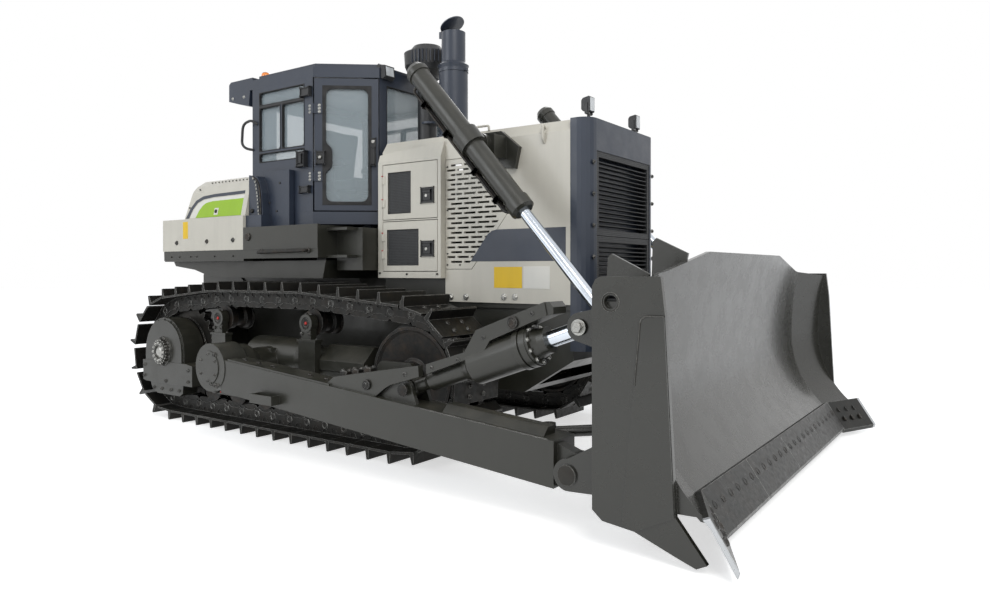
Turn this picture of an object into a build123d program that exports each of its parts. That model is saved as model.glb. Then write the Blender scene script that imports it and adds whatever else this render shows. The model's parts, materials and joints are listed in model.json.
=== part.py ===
from build123d import *
import os
from math import asin, atan2, cos, hypot, pi, sin, sqrt, tan

# Crawler bulldozer with a semi-U blade and a six-sided cab. Units are millimetres. +X points
# forward, +Y to the machine's left, +Z up. The ground is z = 0 and the origin is below the
# centre of the whole machine, between the blade and the drawbar.

# Undercarriage
GAUGE = 2140
SHOE_WIDTH = 560
PITCH = 228.6
LINKS = 41
GROUSER = 80
SHOE_PLATE = 18
PIN_TO_PLATE = 64
PIN_TO_TREAD = 80
RAIL_INNER = 62
RAIL_OUTER = 112
SPROCKET_X = -2560
SPROCKET_TEETH = 27
SPROCKET_PITCH_R = 495.6
IDLER_X = 590
IDLER_R = 400
CARRIER_R = 105
CARRIER_Z = 1042
CARRIER_X = (-1780, -530)
ROLLER_R = 108
ROLLER_COUNT = 6
ROLLER_FIRST_X = -1960
ROLLER_LAST_X = 10
RUN_GAP = 0.5

# Track frame and final drive
BEAM_HALF = 150
BEAM_LOW = 400
BEAM_TOP = 700
BEAM_REAR_X = -2000
BEAM_FRONT_X = 60
TRUNNION_X = -1080
TRUNNION_Z = 660
TRUNNION_Y = 1745
TRUNNION_BALL_R = 108
DRUM_X = -1020
DRUM_Z = 690
DRUM_R = 200
CASE_X = -2505
CASE_Z = 690
CASE_R = 338
DRIVE_HUB_R = 300
DRIVE_OUTER_Y = 1400

# Push arms
ARM_IN_Y = 1620
ARM_OUT_Y = 1870
ARM_REAR_X = -880
ARM_REAR_Z = (500, 765)
ARM_FRONT_X = 2292
ARM_FRONT_Z = (232, 508)
BLADE_PIN_X = 2400
BLADE_PIN_Y = 1780
BLADE_PIN_Z = 335
BALL_R = 85
BALL_GAP = 0.5
EYE_HALF = 45
EYE_R = 112
PIN_R = 34
PIN_FLOAT = 32
LUG_GAP = 40
LUG_PLATE = 34

# Blade
BLADE_BELLY_X = 2780
BLADE_BELLY_Z = 900
UPPER_CURVE_R = 2900
LOWER_CURVE_R = 840
BLADE_TOP_Z = 1618
BLADE_SHOULDER_Z = 1489
BLADE_WING_TOP_Z = 1447
BLADE_FLAT_HALF = 860
KNEE_Y = 1640
WING_END_Y = 1990
WING_ADVANCE = 160
LIP_Z = 250
MOLD_PLATE = 30
BACK_X = 2655
EDGE_PLATE = 32
EDGE_LOW_X = 3215
EDGE_LOW_Z = 55
EDGE_HIGH_Z = 285
BLADE_HALF = 2065
END_PLATE = 32

# Lift cylinders
LIFT_Y = 1000
LIFT_TRUNNION_X = 1030
LIFT_TRUNNION_Z = 2499
LIFT_EYE_X = 2560
LIFT_EYE_Z = 754
LIFT_BARREL_R = 84
LIFT_BORE_R = 58
LIFT_ROD_R = 44
LIFT_TAIL = 850
LIFT_HEAD = 760
LIFT_EYE_HALF = 40
LIFT_EYE_R = 72
LIFT_LUG_GAP = 82
ROD_GAP = 0.08
RUN_FIT = 0.08
SEAT = 0.3

# Tilt cylinder and the brace opposite it
TILT_Y = 1722
TILT_TAIL_X = 1090
TILT_TAIL_Z = 690
TILT_EYE_X = 2440
TILT_EYE_Z = 1172
TILT_BARREL_R = 125
TILT_BORE_R = 92
TILT_ROD_R = 52
TILT_TAIL_R = 66
TILT_EYE_HALF = 48
TILT_EYE_R = 88
TILT_PIN_R = 28
TILT_PIN_FLOAT = 33
TILT_BALL_R = 50
TILT_LUG_GAP = 9
TILT_FRONT_GAP = 28

# Body
HULL_HALF = 560
HULL_LOW = 520
HULL_TOP = 1330
HULL_REAR_X = -3090
SADDLE_HALF = 985
DRAWBAR_REAR_X = -3440
HOOD_HALF = 615
HOOD_REAR_X = -252
HOOD_FRONT_X = 1700
HOOD_TOP_Z = 2660
HOOD_LOW_Z = 1232
HOOD_SHEET = 26
GUARD_FRONT_X = 1866
GUARD_LOW_Z = 880
CAP_LOW_Z = 2434
GRILLE_SPLIT_Z = 1764
SERVICE_Y = 675
SERVICE_FRONT_X = 478
SERVICE_LOW_Z = 1431
SERVICE_TOP_Z = 2500
DOOR_PLATE = 22
DOOR_GAP = 6

# Fuel tank and fenders
FENDER_Y = 1100
FENDER_IN_Y = 660
FENDER_LOW_Z = 1612
FENDER_TOP_Z = 1905
FENDER_FRONT_X = -580
TANK_REAR_X = -3005
TANK_MID_X = -1915
TANK_FRONT_X = -1634
TANK_LOW_Z = 1590
TANK_PANEL_Z = 1699
TANK_SILL_Z = 2030
TANK_TOP_Z = 2445
TANK_SIDE_IN = 893

# Cab
CAB_HALF = 887
CAB_REAR_X = -1768
CAB_CORNER_X = -881
CAB_FRONT_X = -401
CAB_FRONT_HALF = 503
CAB_FLOOR_Z = 1930
CAB_SILL_Z = 2046
CAB_HEAD_Z = 3300
CAB_ROOF_Z = 3437
CAB_WALL = 60
CAB_DOOR_TOP_Z = 3288
CAB_DOOR_LOW_Z = 2057
HINGE_OUT = 12.3
GLASS = 8

# Stacks
EXHAUST_X = 322
EXHAUST_Y = -300
EXHAUST_R = 130
EXHAUST_TOP_Z = 3640
CLEANER_X = -196
CLEANER_Y = -100
CLEANER_R = 222
CLEANER_LOW_Z = 3335
CLEANER_TOP_Z = 3640

RIGHT = -1
LEFT = 1
TRACK_Y = GAUGE / 2
PIN_GROUND = GROUSER + SHOE_PLATE + PIN_TO_PLATE
TREAD_Z = PIN_GROUND + PIN_TO_TREAD
SPROCKET_Z = PIN_GROUND + SPROCKET_PITCH_R
IDLER_PIN_R = hypot(IDLER_R + PIN_TO_TREAD + 1, PITCH / 2)
IDLER_Z = PIN_GROUND + IDLER_PIN_R
ROLLER_Z = TREAD_Z + ROLLER_R + RUN_GAP
SHOE_INNER_Y = TRACK_Y - SHOE_WIDTH / 2
SHOE_OUTER_Y = TRACK_Y + SHOE_WIDTH / 2


def block(x, y, z):
    """A box between two values on each axis."""
    centre = Pos(sum(x) / 2, sum(y) / 2, sum(z) / 2)
    return centre * Box(abs(x[1] - x[0]), abs(y[1] - y[0]), abs(z[1] - z[0]))


def side_prism(points, y0, y1):
    """An outline of (x, z) points, between two y values."""
    low, high = min(y0, y1), max(y0, y1)
    plane = Plane(origin=(0, high, 0), x_dir=(1, 0, 0), z_dir=(0, -1, 0))
    return extrude(plane * Polygon(*points, align=None), amount=high - low, dir=(0, -1, 0))


def front_prism(points, x0, x1):
    """An outline of (y, z) points, between two x values."""
    plane = Plane(origin=(min(x0, x1), 0, 0), x_dir=(0, 1, 0), z_dir=(1, 0, 0))
    return extrude(plane * Polygon(*points, align=None), amount=abs(x1 - x0), dir=(1, 0, 0))


def plan_prism(points, z0, z1):
    """An outline of (x, y) points, between two z values."""
    plane = Plane(origin=(0, 0, min(z0, z1)))
    return extrude(plane * Polygon(*points, align=None), amount=abs(z1 - z0), dir=(0, 0, 1))


def bar(start, end, radius):
    """A round bar from one point to another."""
    a, b = Vector(*start), Vector(*end)
    plane = Plane(origin=a, z_dir=b - a)
    return extrude(plane * Circle(radius), amount=(b - a).length)


def disc(x, z, radius, y0, y1):
    """A round bar across the machine."""
    return bar((x, min(y0, y1), z), (x, max(y0, y1), z), radius)


def turned(profile, centre, direction):
    """A solid of revolution about a line through centre. The profile's points are
    (distance along the line, radius)."""
    a = Vector(*direction).normalized()
    side = a.cross(Vector(0, 0, 1))
    if side.length < 0.5:
        side = a.cross(Vector(0, 1, 0))
    plane = Plane(origin=centre, x_dir=a, z_dir=side.normalized())
    face = plane * Polygon(*profile, align=None)
    return revolve(face, axis=Axis(centre, a))


def mirrored(shape):
    """The same shape on the other side of the machine."""
    return mirror(shape, about=Plane.XZ)


def sided(shape, side):
    """Shapes are drawn on the left. The right one is their mirror image."""
    return shape if side == LEFT else mirrored(shape)


def pair(shape):
    """Both sides of a part, as solids of one piece."""
    return Compound(list(shape.solids()) + list(mirrored(shape).solids()))


def save(name, *shapes):
    """Writes one sub-part's solids."""
    solids = [solid for shape in shapes for solid in shape.solids()]
    export_step(solids[0] if len(solids) == 1 else Compound(solids), f"parts/{name}.step")


# Tracks and wheels


def track_pins():
    """The pins' centres, evenly spaced along a belt round the wheels."""
    carrier = CARRIER_R + PIN_TO_TREAD + RUN_GAP + 6
    wheels = [(SPROCKET_X, SPROCKET_Z, SPROCKET_PITCH_R)]
    wheels += [(x, CARRIER_Z, carrier) for x in CARRIER_X]
    wheels += [(IDLER_X, IDLER_Z, IDLER_PIN_R)]
    count = len(wheels)
    lean = []
    for i in range(count):
        x0, z0, r0 = wheels[i]
        x1, z1, r1 = wheels[(i + 1) % count]
        run = atan2(z1 - z0, x1 - x0)
        lean.append(run + pi / 2 - asin((r1 - r0) / hypot(x1 - x0, z1 - z0)) * -1)
    pieces = []
    for i in range(count):
        x0, z0, r0 = wheels[i]
        x1, z1, r1 = wheels[(i + 1) % count]
        start = (x0 + r0 * cos(lean[i]), z0 + r0 * sin(lean[i]))
        end = (x1 + r1 * cos(lean[i]), z1 + r1 * sin(lean[i]))
        pieces.append(("run", start, end, hypot(end[0] - start[0], end[1] - start[1])))
        turn = (lean[i] - lean[(i + 1) % count]) % (2 * pi)
        pieces.append(("arc", (x1, z1, r1), (lean[i], turn), r1 * turn))
    total = sum(piece[3] for piece in pieces)
    pins = []
    for k in range(LINKS):
        left = total * k / LINKS
        for kind, a, b, length in pieces:
            if left <= length:
                break
            left -= length
        if kind == "run":
            t = left / length
            pins.append((a[0] + (b[0] - a[0]) * t, a[1] + (b[1] - a[1]) * t))
        else:
            angle = b[0] - left / a[2]
            pins.append((a[0] + a[2] * cos(angle), a[1] + a[2] * sin(angle)))
    return pins


def link_frames(pins):
    """Each link's middle, the unit vector along it and the one pointing out of the loop."""
    frames = []
    for i, (x0, z0) in enumerate(pins):
        x1, z1 = pins[(i + 1) % len(pins)]
        length = hypot(x1 - x0, z1 - z0)
        along = ((x1 - x0) / length, (z1 - z0) / length)
        frames.append((((x0 + x1) / 2, (z0 + z1) / 2), along, (-along[1], along[0])))
    return frames


def on_link(frame, t, n):
    """A point of a link, from its place along and out of the loop."""
    middle, along, out = frame
    return (middle[0] + along[0] * t + out[0] * n, middle[1] + along[1] * t + out[1] * n)


def corner(pin, before, after, n):
    """Where the lines at height n of two neighbouring links meet."""
    b, a = before[2], after[2]
    scale = n / (1 + b[0] * a[0] + b[1] * a[1])
    return (pin[0] + (b[0] + a[0]) * scale, pin[1] + (b[1] + a[1]) * scale)


def track():
    """One closed track: 41 shoes with their grousers on two rails of links."""
    pins = track_pins()
    frames = link_frames(pins)
    outer, inner = [], []
    for i, frame in enumerate(frames):
        outer.append(corner(pins[i], frames[i - 1], frame, PIN_TO_PLATE))
        inner.append(corner(pins[i], frames[i - 1], frame, -PIN_TO_TREAD * 0.72))
        inner.append(on_link(frame, -PITCH * 0.37, -PIN_TO_TREAD))
        inner.append(on_link(frame, PITCH * 0.37, -PIN_TO_TREAD))
    rails = []
    for low, high in ((-RAIL_OUTER, -RAIL_INNER), (RAIL_INNER, RAIL_OUTER)):
        ring = side_prism(outer, TRACK_Y + low, TRACK_Y + high)
        rails.append(ring - side_prism(inner, TRACK_Y + low - 1, TRACK_Y + high + 1))
    half = PITCH * 0.485
    base, top = PIN_TO_PLATE, PIN_TO_PLATE + SHOE_PLATE
    section = (
        (-half, base),
        (half, base),
        (half, top),
        (-half + 40, top),
        (-half + 26, top + GROUSER),
        (-half + 8, top + GROUSER),
        (-half, top),
    )
    shoes = [
        side_prism([on_link(frame, t, n) for t, n in section], SHOE_INNER_Y, SHOE_OUTER_Y)
        for frame in frames
    ]
    return rails[0].fuse(rails[1], *shoes)


def sprocket():
    """Toothed ring on the final drive's hub. The teeth pass between the link rails."""
    root, tip, half = SPROCKET_PITCH_R - 34, SPROCKET_PITCH_R + 24, 40
    step = 2 * pi / SPROCKET_TEETH
    outline = []
    for k in range(SPROCKET_TEETH):
        for share, radius in (
                (-0.5, root), (-0.30, root + 6), (-0.12, tip), (0.12, tip), (0.30, root + 6)):
            angle = (k + share) * step
            outline.append((SPROCKET_X + radius * cos(angle), SPROCKET_Z + radius * sin(angle)))
    wheel = side_prism(outline, TRACK_Y - half, TRACK_Y + half)
    bore = DRIVE_HUB_R + ROD_GAP
    rim = turned([
        (-half - 12, bore), (half + 12, bore), (half + 12, bore + 60), (-half - 12, bore + 60)],
        (SPROCKET_X, TRACK_Y, SPROCKET_Z), (0, 1, 0))
    return wheel - disc(SPROCKET_X, SPROCKET_Z, bore, TRACK_Y - 99, TRACK_Y + 99) + rim


def idler():
    """Front wheel: two treads for the rails, a guide flange between them and dished sides."""
    half = [
        (92, 70), (92, 128), (78, 150), (98, 350), (110, 372), (118, 376), (118, IDLER_R),
        (RAIL_INNER - 7, IDLER_R), (RAIL_INNER - 14, IDLER_R + 28),
    ]
    profile = [(-y, r) for y, r in half] + [(y, r) for y, r in reversed(half)]
    return turned(profile, (IDLER_X, TRACK_Y, IDLER_Z), (0, 1, 0))


def track_roller(x):
    """Bottom roller with a flange outside each rail, on a plain shaft."""
    end = BEAM_HALF - 10 - SEAT
    half = [
        (RAIL_INNER - 22, ROLLER_R - 22), (RAIL_INNER - 12, ROLLER_R), (116, ROLLER_R),
        (118, ROLLER_R + 22), (137, ROLLER_R + 22), (137, 46), (end, 46), (end, 0),
    ]
    profile = [(-y, r) for y, r in reversed(half)] + half
    return turned(profile, (x, TRACK_Y, ROLLER_Z), (0, 1, 0))


def carrier_roller(x):
    """Top roller, held at its outer end by a post on the track frame."""
    profile = [
        (-124, 0), (-124, CARRIER_R + 16), (-117, CARRIER_R + 16), (-117, CARRIER_R),
        (-50, CARRIER_R), (-36, CARRIER_R - 24), (36, CARRIER_R - 24), (50, CARRIER_R),
        (117, CARRIER_R), (117, CARRIER_R + 16), (124, CARRIER_R + 16), (124, 52), (200, 52), (200, 0),
    ]
    return turned(profile, (x, TRACK_Y, CARRIER_Z), (0, 1, 0))


def trunnion(start_y):
    """Shaft with a bolted flange ring and a ball on its end, which carries a push arm."""
    r, neck = TRUNNION_BALL_R, 82
    root = TRUNNION_Y - sqrt(r * r - neck * neck)
    points = [
        (start_y, 0), (start_y, 150), (1420, 150), (1500, 196), (1578, 196), (1578, 182),
        (1620, 182), (1636, 160), (1636, neck), (root, neck),
    ]
    edges = [Line(a, b) for a, b in zip(points, points[1:])]
    top = (TRUNNION_Y + r * sin(pi / 4), r * cos(pi / 4))
    edges.append(ThreePointArc((root, neck), top, (TRUNNION_Y + r, 0)))
    edges.append(Line((TRUNNION_Y + r, 0), (start_y, 0)))
    centre = (TRUNNION_X, 0, TRUNNION_Z)
    plane = Plane(origin=centre, x_dir=(0, 1, 0), z_dir=(1, 0, 0))
    return revolve(plane * make_face(edges), axis=Axis(centre, (0, 1, 0)))


def track_frame():
    """Box beam with its roller guards, fork, spring housing, roller posts and trunnion."""
    y0, y1 = TRACK_Y - BEAM_HALF, TRACK_Y + BEAM_HALF
    slope = 60
    section = [
        (y0, BEAM_LOW + 90), (y0, BEAM_TOP - slope), (y0 + slope, BEAM_TOP),
        (y1 - slope, BEAM_TOP), (y1, BEAM_TOP - slope), (y1, BEAM_LOW + 90),
    ]
    body = front_prism(section, BEAM_REAR_X, BEAM_FRONT_X)
    parts = []
    guard_low = TREAD_Z + 62
    for y in (y0 - 8, y1 - 10):
        parts.append(side_prism([
            (BEAM_REAR_X + 60, guard_low), (BEAM_FRONT_X + 20, guard_low),
            (BEAM_FRONT_X + 60, BEAM_LOW + 100), (BEAM_REAR_X, BEAM_LOW + 100)], y, y + 18))
        parts.append(side_prism([
            (BEAM_FRONT_X - 40, BEAM_LOW + 100), (IDLER_X + 90, IDLER_Z - 90),
            (IDLER_X + 130, IDLER_Z), (IDLER_X + 90, IDLER_Z + 90),
            (BEAM_FRONT_X - 40, BEAM_TOP - 70)], y + 4, y + 16))
    parts.append(spring_housing())
    parts.append(idler_guide())
    parts.append(disc(IDLER_X, IDLER_Z, 70 - ROD_GAP, y0 - 12, y1 + 12))
    for x in CARRIER_X:
        parts.append(roller_post(x))
    parts.append(trunnion(y1 - 30))
    parts.append(side_prism([
        (TRUNNION_X - 170, 520), (TRUNNION_X + 170, 520), (TRUNNION_X + 100, 800),
        (TRUNNION_X - 100, 800)], y1 - 20, y1 + 70))
    for x in (TRUNNION_X, BEAM_FRONT_X - 300):
        parts.append(block((x - 110, x + 110), (HULL_HALF + SEAT, y0 + 10), (540, 660)))
    return body.fuse(*parts)


def spring_housing():
    """Round recoil spring housing on the beam, and the faceted yoke cover before it."""
    axis_z = BEAM_TOP
    rear, front = -1490, -674
    profile = [
        (rear, 0), (rear, 118), (rear + 90, 184), (front - 40, 184), (front, 160), (front, 0),
    ]
    housing = turned(profile, (0, TRACK_Y, axis_z), (1, 0, 0))
    housing &= block((rear - 9, front + 9), (0, 2 * TRACK_Y), (axis_z - 60, axis_z + 200))
    half, chamfer = 168, 44
    cover = front_prism([
        (TRACK_Y - half, axis_z - 50), (TRACK_Y - half, axis_z + 34),
        (TRACK_Y - chamfer, axis_z + 156), (TRACK_Y + chamfer, axis_z + 156),
        (TRACK_Y + half, axis_z + 34), (TRACK_Y + half, axis_z - 50)], -403, 126)
    neck = bar((front - 20, TRACK_Y, axis_z + 30), (-390, TRACK_Y, axis_z + 30), 96)
    return housing + cover + neck


def idler_guide():
    """Bolted bearing guides on the fork, inside and outside of the idler."""
    guides = []
    for side in (-1, 1):
        y = TRACK_Y + side * (BEAM_HALF + 8)
        guides.append(side_prism([
            (290, 650), (660, 650), (690, 700), (640, 776), (330, 776), (290, 740)],
            y - 18, y + 18))
    return guides[0] + guides[1]


def roller_post(x):
    """Square post with a lid and the clamp that holds a carrier roller's shaft."""
    y = TRACK_Y + BEAM_HALF - 12
    post = block((x - 92, x + 118), (y, y + 72), (BEAM_TOP - 90, 888))
    lid = block((x - 104, x + 130), (y - 4, y + 80), (884, 904))
    clamp = block((x - 60, x + 60), (y + 2, y + 66), (900, CARRIER_Z))
    head = disc(x, CARRIER_Z, 78, y, y + 72)
    return post.fuse(lid, clamp, head) - disc(x, CARRIER_Z, 52 + ROD_GAP, y - 20, y + 99)


def final_drive():
    """Gear case on the hull, the sprocket's hub, and the guarded case outside the track."""
    c = (SPROCKET_X, 0, SPROCKET_Z)
    inner, outer = TRACK_Y - 66, TRACK_Y + 66
    profile = [
        (HULL_HALF + SEAT, 0), (HULL_HALF + SEAT, 330), (inner - 120, 330),
        (inner, DRIVE_HUB_R + 40), (inner, DRIVE_HUB_R), (outer, DRIVE_HUB_R),
        (outer, DRIVE_HUB_R + 50), (outer + 66, DRIVE_HUB_R + 50), (outer + 66, 0),
    ]
    case = [
        (CASE_X + CASE_R * cos(pi * k / 12), CASE_Z + CASE_R * sin(pi * k / 12))
        for k in range(13)
    ]
    case = [(CASE_X + CASE_R, 560)] + case + [(CASE_X - CASE_R, 560)]
    rim = [(CASE_X + (x - CASE_X) * 0.93, CASE_Z + (z - CASE_Z) * 0.93) for x, z in case]
    body = side_prism(case, outer + 64, DRIVE_OUTER_Y - 16)
    body += side_prism(rim, DRIVE_OUTER_Y - 17, DRIVE_OUTER_Y)
    hub = turned([
        (DRIVE_OUTER_Y - 5, 0), (DRIVE_OUTER_Y - 5, 152), (DRIVE_OUTER_Y + 14, 146),
        (DRIVE_OUTER_Y + 14, 118), (DRIVE_OUTER_Y + 54, 108), (DRIVE_OUTER_Y + 54, 62),
        (DRIVE_OUTER_Y + 40, 56), (DRIVE_OUTER_Y + 40, 0)], (CASE_X, 0, CASE_Z), (0, 1, 0))
    foot = side_prism([
        (-2862, 590), (-2856, 388), (-2800, 376), (BEAM_REAR_X - 4, 376),
        (BEAM_REAR_X - 4, 575), (CASE_X + CASE_R + 60, 590)], outer + 80, DRIVE_OUTER_Y + 6)
    shield = side_prism([
        (-2770, 380), (-2730, 300), (-2640, 262), (-2250, 262), (-2200, 290), (-2190, 380)],
        outer + 84, DRIVE_OUTER_Y - 20)
    return turned(profile, c, (0, 1, 0)).fuse(body, hub, foot, shield)


# Hull and bodywork


def main_frame():
    """Hull: two deep side rails with a floor guard, a rear gear case and the front member."""
    side = [
        (HULL_REAR_X, 820), (HULL_REAR_X + 240, HULL_LOW), (1250, HULL_LOW),
        (HOOD_FRONT_X, 800), (HOOD_FRONT_X, 1238), (-500, HULL_TOP), (-2300, HULL_TOP),
        (-2600, 1590), (-2950, 1590), (HULL_REAR_X, 1450),
    ]
    hull = side_prism(side, -HULL_HALF, HULL_HALF)
    bay = block((-280, 1560), (-HULL_HALF + 60, HULL_HALF - 60), (HULL_LOW + 60, HULL_TOP + 50))
    saddle = side_prism([
        (-2985, TANK_LOW_Z), (-2950, 1545), (-2600, 1505), (-2350, 1440), (-2260, 1426),
        (-640, 1426), (-600, TANK_LOW_Z)], -SADDLE_HALF, SADDLE_HALF)
    pedestal = side_prism([
        (-2480, HULL_TOP - 5), (-560, HULL_TOP - 5), (-640, 1428), (-2420, 1428)],
        -HULL_HALF + 20, HULL_HALF - 20)
    ledges = []
    for s in (-1, 1):
        inner, outer = s * (HULL_HALF - 5), s * (HOOD_HALF - HOOD_SHEET - SEAT)
        ledges.append(block((-240, HOOD_FRONT_X), (inner, outer), (1190, 1238)))
        ledges.append(block((-240, SERVICE_FRONT_X), (s * 566, outer), (1200, SERVICE_LOW_Z - SEAT)))
    return (hull - bay).fuse(saddle, pedestal, *ledges)


def drawbar():
    """Rear hitch: two plates with a vertical pin hole through both."""
    half, mid = 150, 640
    x = DRAWBAR_REAR_X + 90
    parts = []
    for z in (mid - 105, mid + 45):
        plate = plan_prism([
            (HULL_REAR_X + 118, -half), (HULL_REAR_X + 118, half), (x, 95), (x, -95)], z, z + 60)
        parts.append(plate + Pos(x, 0, z + 30) * Cylinder(90, 60))
    web = block((HULL_REAR_X + 118, x + 130), (-60, 60), (mid - 50, mid + 50))
    flange = block((HULL_REAR_X + 60, HULL_REAR_X + 120), (-260, 260), (560, 800))
    body = parts[0].fuse(parts[1], web, flange)
    body -= side_prism([
        (HULL_REAR_X, 820), (HULL_REAR_X + 240, HULL_LOW), (HULL_REAR_X + 240, 1000),
        (HULL_REAR_X, 1000)], -400, 400)
    return body - Pos(x, 0, mid) * Cylinder(30, 400)


def engine_block():
    """The engine's bulk inside the hood, on the hull's side rails."""
    return block((-60, 1180), (-330, 330), (HULL_LOW + 60 + SEAT, 2150))


def hood():
    """Folded top and side sheets, open below, at the rear and at the front."""
    t = HOOD_SHEET
    outline = [
        (-HOOD_HALF, HOOD_LOW_Z), (-HOOD_HALF, HOOD_TOP_Z - 90), (-HOOD_HALF + 60, HOOD_TOP_Z),
        (HOOD_HALF - 60, HOOD_TOP_Z), (HOOD_HALF, HOOD_TOP_Z - 90), (HOOD_HALF, HOOD_LOW_Z),
    ]
    inside = [
        (-HOOD_HALF + t, HOOD_LOW_Z - 5), (-HOOD_HALF + t, HOOD_TOP_Z - 90 - t * 0.3),
        (-HOOD_HALF + 60 + t * 0.6, HOOD_TOP_Z - t), (HOOD_HALF - 60 - t * 0.6, HOOD_TOP_Z - t),
        (HOOD_HALF - t, HOOD_TOP_Z - 90 - t * 0.3), (HOOD_HALF - t, HOOD_LOW_Z - 5),
    ]
    shell = front_prism(outline, HOOD_REAR_X, HOOD_FRONT_X)
    shell -= front_prism(inside, HOOD_REAR_X - 5, HOOD_FRONT_X + 5)
    opening = side_prism(panel_outline(-4), -HOOD_HALF - 20, HOOD_HALF + 20)
    lowered = block((HOOD_REAR_X - 5, SERVICE_FRONT_X + 2), (-HOOD_HALF - 5, HOOD_HALF + 5),
                    (HOOD_LOW_Z - 5, SERVICE_TOP_Z))
    holes = [
        Pos(EXHAUST_X, EXHAUST_Y, HOOD_TOP_Z) * Cylinder(EXHAUST_R - 20 + SEAT, 120),
        Pos(CLEANER_X + 40, CLEANER_Y, HOOD_TOP_Z) * Cylinder(92 + SEAT, 120),
    ]
    return shell - opening - lowered - holes


def panel_outline(grow):
    """The perforated engine panel's outline, made larger all round by a negative gap."""
    x0, x1 = SERVICE_FRONT_X + 3, 1180
    z0, z1 = 1510, 2440
    return [
        (x0 + grow * 0.5, z0 + grow), (760 - grow, z0 + grow), (1200 - grow, 2060), (1200 - grow, 2110),
        (880, z1 - grow), (x0 + grow * 0.5, z1 - grow),
    ]


def engine_panel():
    """Side panel with rows of slots, cut off to the panel's slanted edges."""
    t = 22
    panel = side_prism(panel_outline(0), HOOD_HALF - t, HOOD_HALF)
    outline = side_prism(panel_outline(34), HOOD_HALF - t - 2, HOOD_HALF + 2)
    rows, pitch, length, high = 21, 41, 118, 17
    cuts = []
    for row in range(rows):
        z = 2390 - row * pitch
        start = 540 if row % 2 == 0 else 540 - (length + 24) / 2
        for k in range(6):
            x = start + k * (length + 24)
            cuts.append(block((x, x + length), (HOOD_HALF - t - 2, HOOD_HALF + 2),
                              (z - high / 2, z + high / 2)))
    slots = Compound([
        solid for cut in cuts for solid in (cut & outline).solids() if solid.volume > 12000
    ])
    return panel - slots.solids()


def guard_section():
    """The radiator guard's plan outline, with its rounded front corners as a polygon of arcs."""
    r, n = 110, 5
    points = [(HOOD_FRONT_X + SEAT, -HOOD_HALF)]
    for k in range(n + 1):
        a = -pi / 2 + (pi / 2) * k / n
        points.append((GUARD_FRONT_X - r + r * cos(a), -HOOD_HALF + r + r * sin(a)))
    return points + [(x, -y) for x, y in reversed(points)]


def radiator_guard():
    """Thick front frame with a closed cap at the top and the screens' opening below it."""
    body = plan_prism(guard_section(), GUARD_LOW_Z, HOOD_TOP_Z)
    opening = block((HOOD_FRONT_X - 5, GUARD_FRONT_X + 5), (-500, 500), (1010, CAP_LOW_Z - 20))
    core = block((HOOD_FRONT_X + SEAT, HOOD_FRONT_X + 60), (-500, 500), (1010, CAP_LOW_Z - 20))
    return (body - opening) + core


def screen(z0, z1):
    """One bolted screen: a frame with bars right across the radiator opening."""
    x0, x1 = GUARD_FRONT_X - 52, GUARD_FRONT_X - 6
    half, rim = 500 - SEAT, 46
    frame = block((x0, x1), (-half, half), (z0, z1))
    frame -= block((x0 - 5, x1 + 5), (-half + rim, half - rim), (z0 + rim, z1 - rim))
    pitch = 36
    count = int((z1 - z0 - 2 * rim) // pitch)
    bars = []
    for k in range(1, count + 1):
        z = z0 + rim + (z1 - z0 - 2 * rim) * k / (count + 1)
        bars.append(side_prism([
            (x0 + 8, z - 9), (x1 - 4, z - 3), (x1 - 4, z + 3), (x0 + 8, z + 9)],
            -half + rim - 1, half - rim + 1))
    return frame.fuse(*bars)


def service_box():
    """Compartment on the hood's side, open behind its two doors."""
    x0, x1, y0, y1 = HOOD_REAR_X, SERVICE_FRONT_X, HOOD_HALF - 145, SERVICE_Y
    body = block((x0, x1), (y0, y1), (SERVICE_LOW_Z, SERVICE_TOP_Z))
    for z0, z1 in SERVICE_BAYS:
        body -= block((x0 + 55, x1 - 34), (y0 + 20, y1 + 5), (z0 - DOOR_GAP, z1 + DOOR_GAP))
    top = SERVICE_TOP_Z
    body += side_prism([(x0, top - 1), (x1, top - 1), (x1, top + 106), (x0, top + 40)],
                       HOOD_HALF + 1, y1 - 2)
    return body - front_prism([
        (y1 - 2, top - 30), (y1 + 6, top - 30), (y1 + 6, top + 110), (y1 - 50, top + 110)],
        x0 - 5, x1 + 5)


SERVICE_BAYS = ((1952, 2440), (1492, 1930))


def service_door(z0, z1):
    """Sheet door with a screened window, its latch cup and two hinge leaves at the rear edge."""
    x0, x1 = HOOD_REAR_X + 55 + DOOR_GAP, SERVICE_FRONT_X - 34 - DOOR_GAP
    y0, y1 = SERVICE_Y - DOOR_PLATE, SERVICE_Y
    door = block((x0, x1), (y0, y1), (z0, z1))
    window = (x0 + 60, x0 + 330) if z1 - z0 > 460 else (x0 + 50, x1 - 210)
    door -= block(window, (y0 + 6, y1 + 2), (z0 + 50, z1 - 70))
    door -= block((x1 - 150, x1 - 40), (y0 + 6, y1 + 2), (z0 + 150, z0 + 250))
    for z in (z0 + 110, z1 - 170):
        door += bar((x0 - 4, y1 + 7, z), (x0 - 4, y1 + 7, z + 70), 7)
        door += block((x0 - 4, x0 + 26), (y1, y1 + 6), (z, z + 70))
    return door


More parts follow.
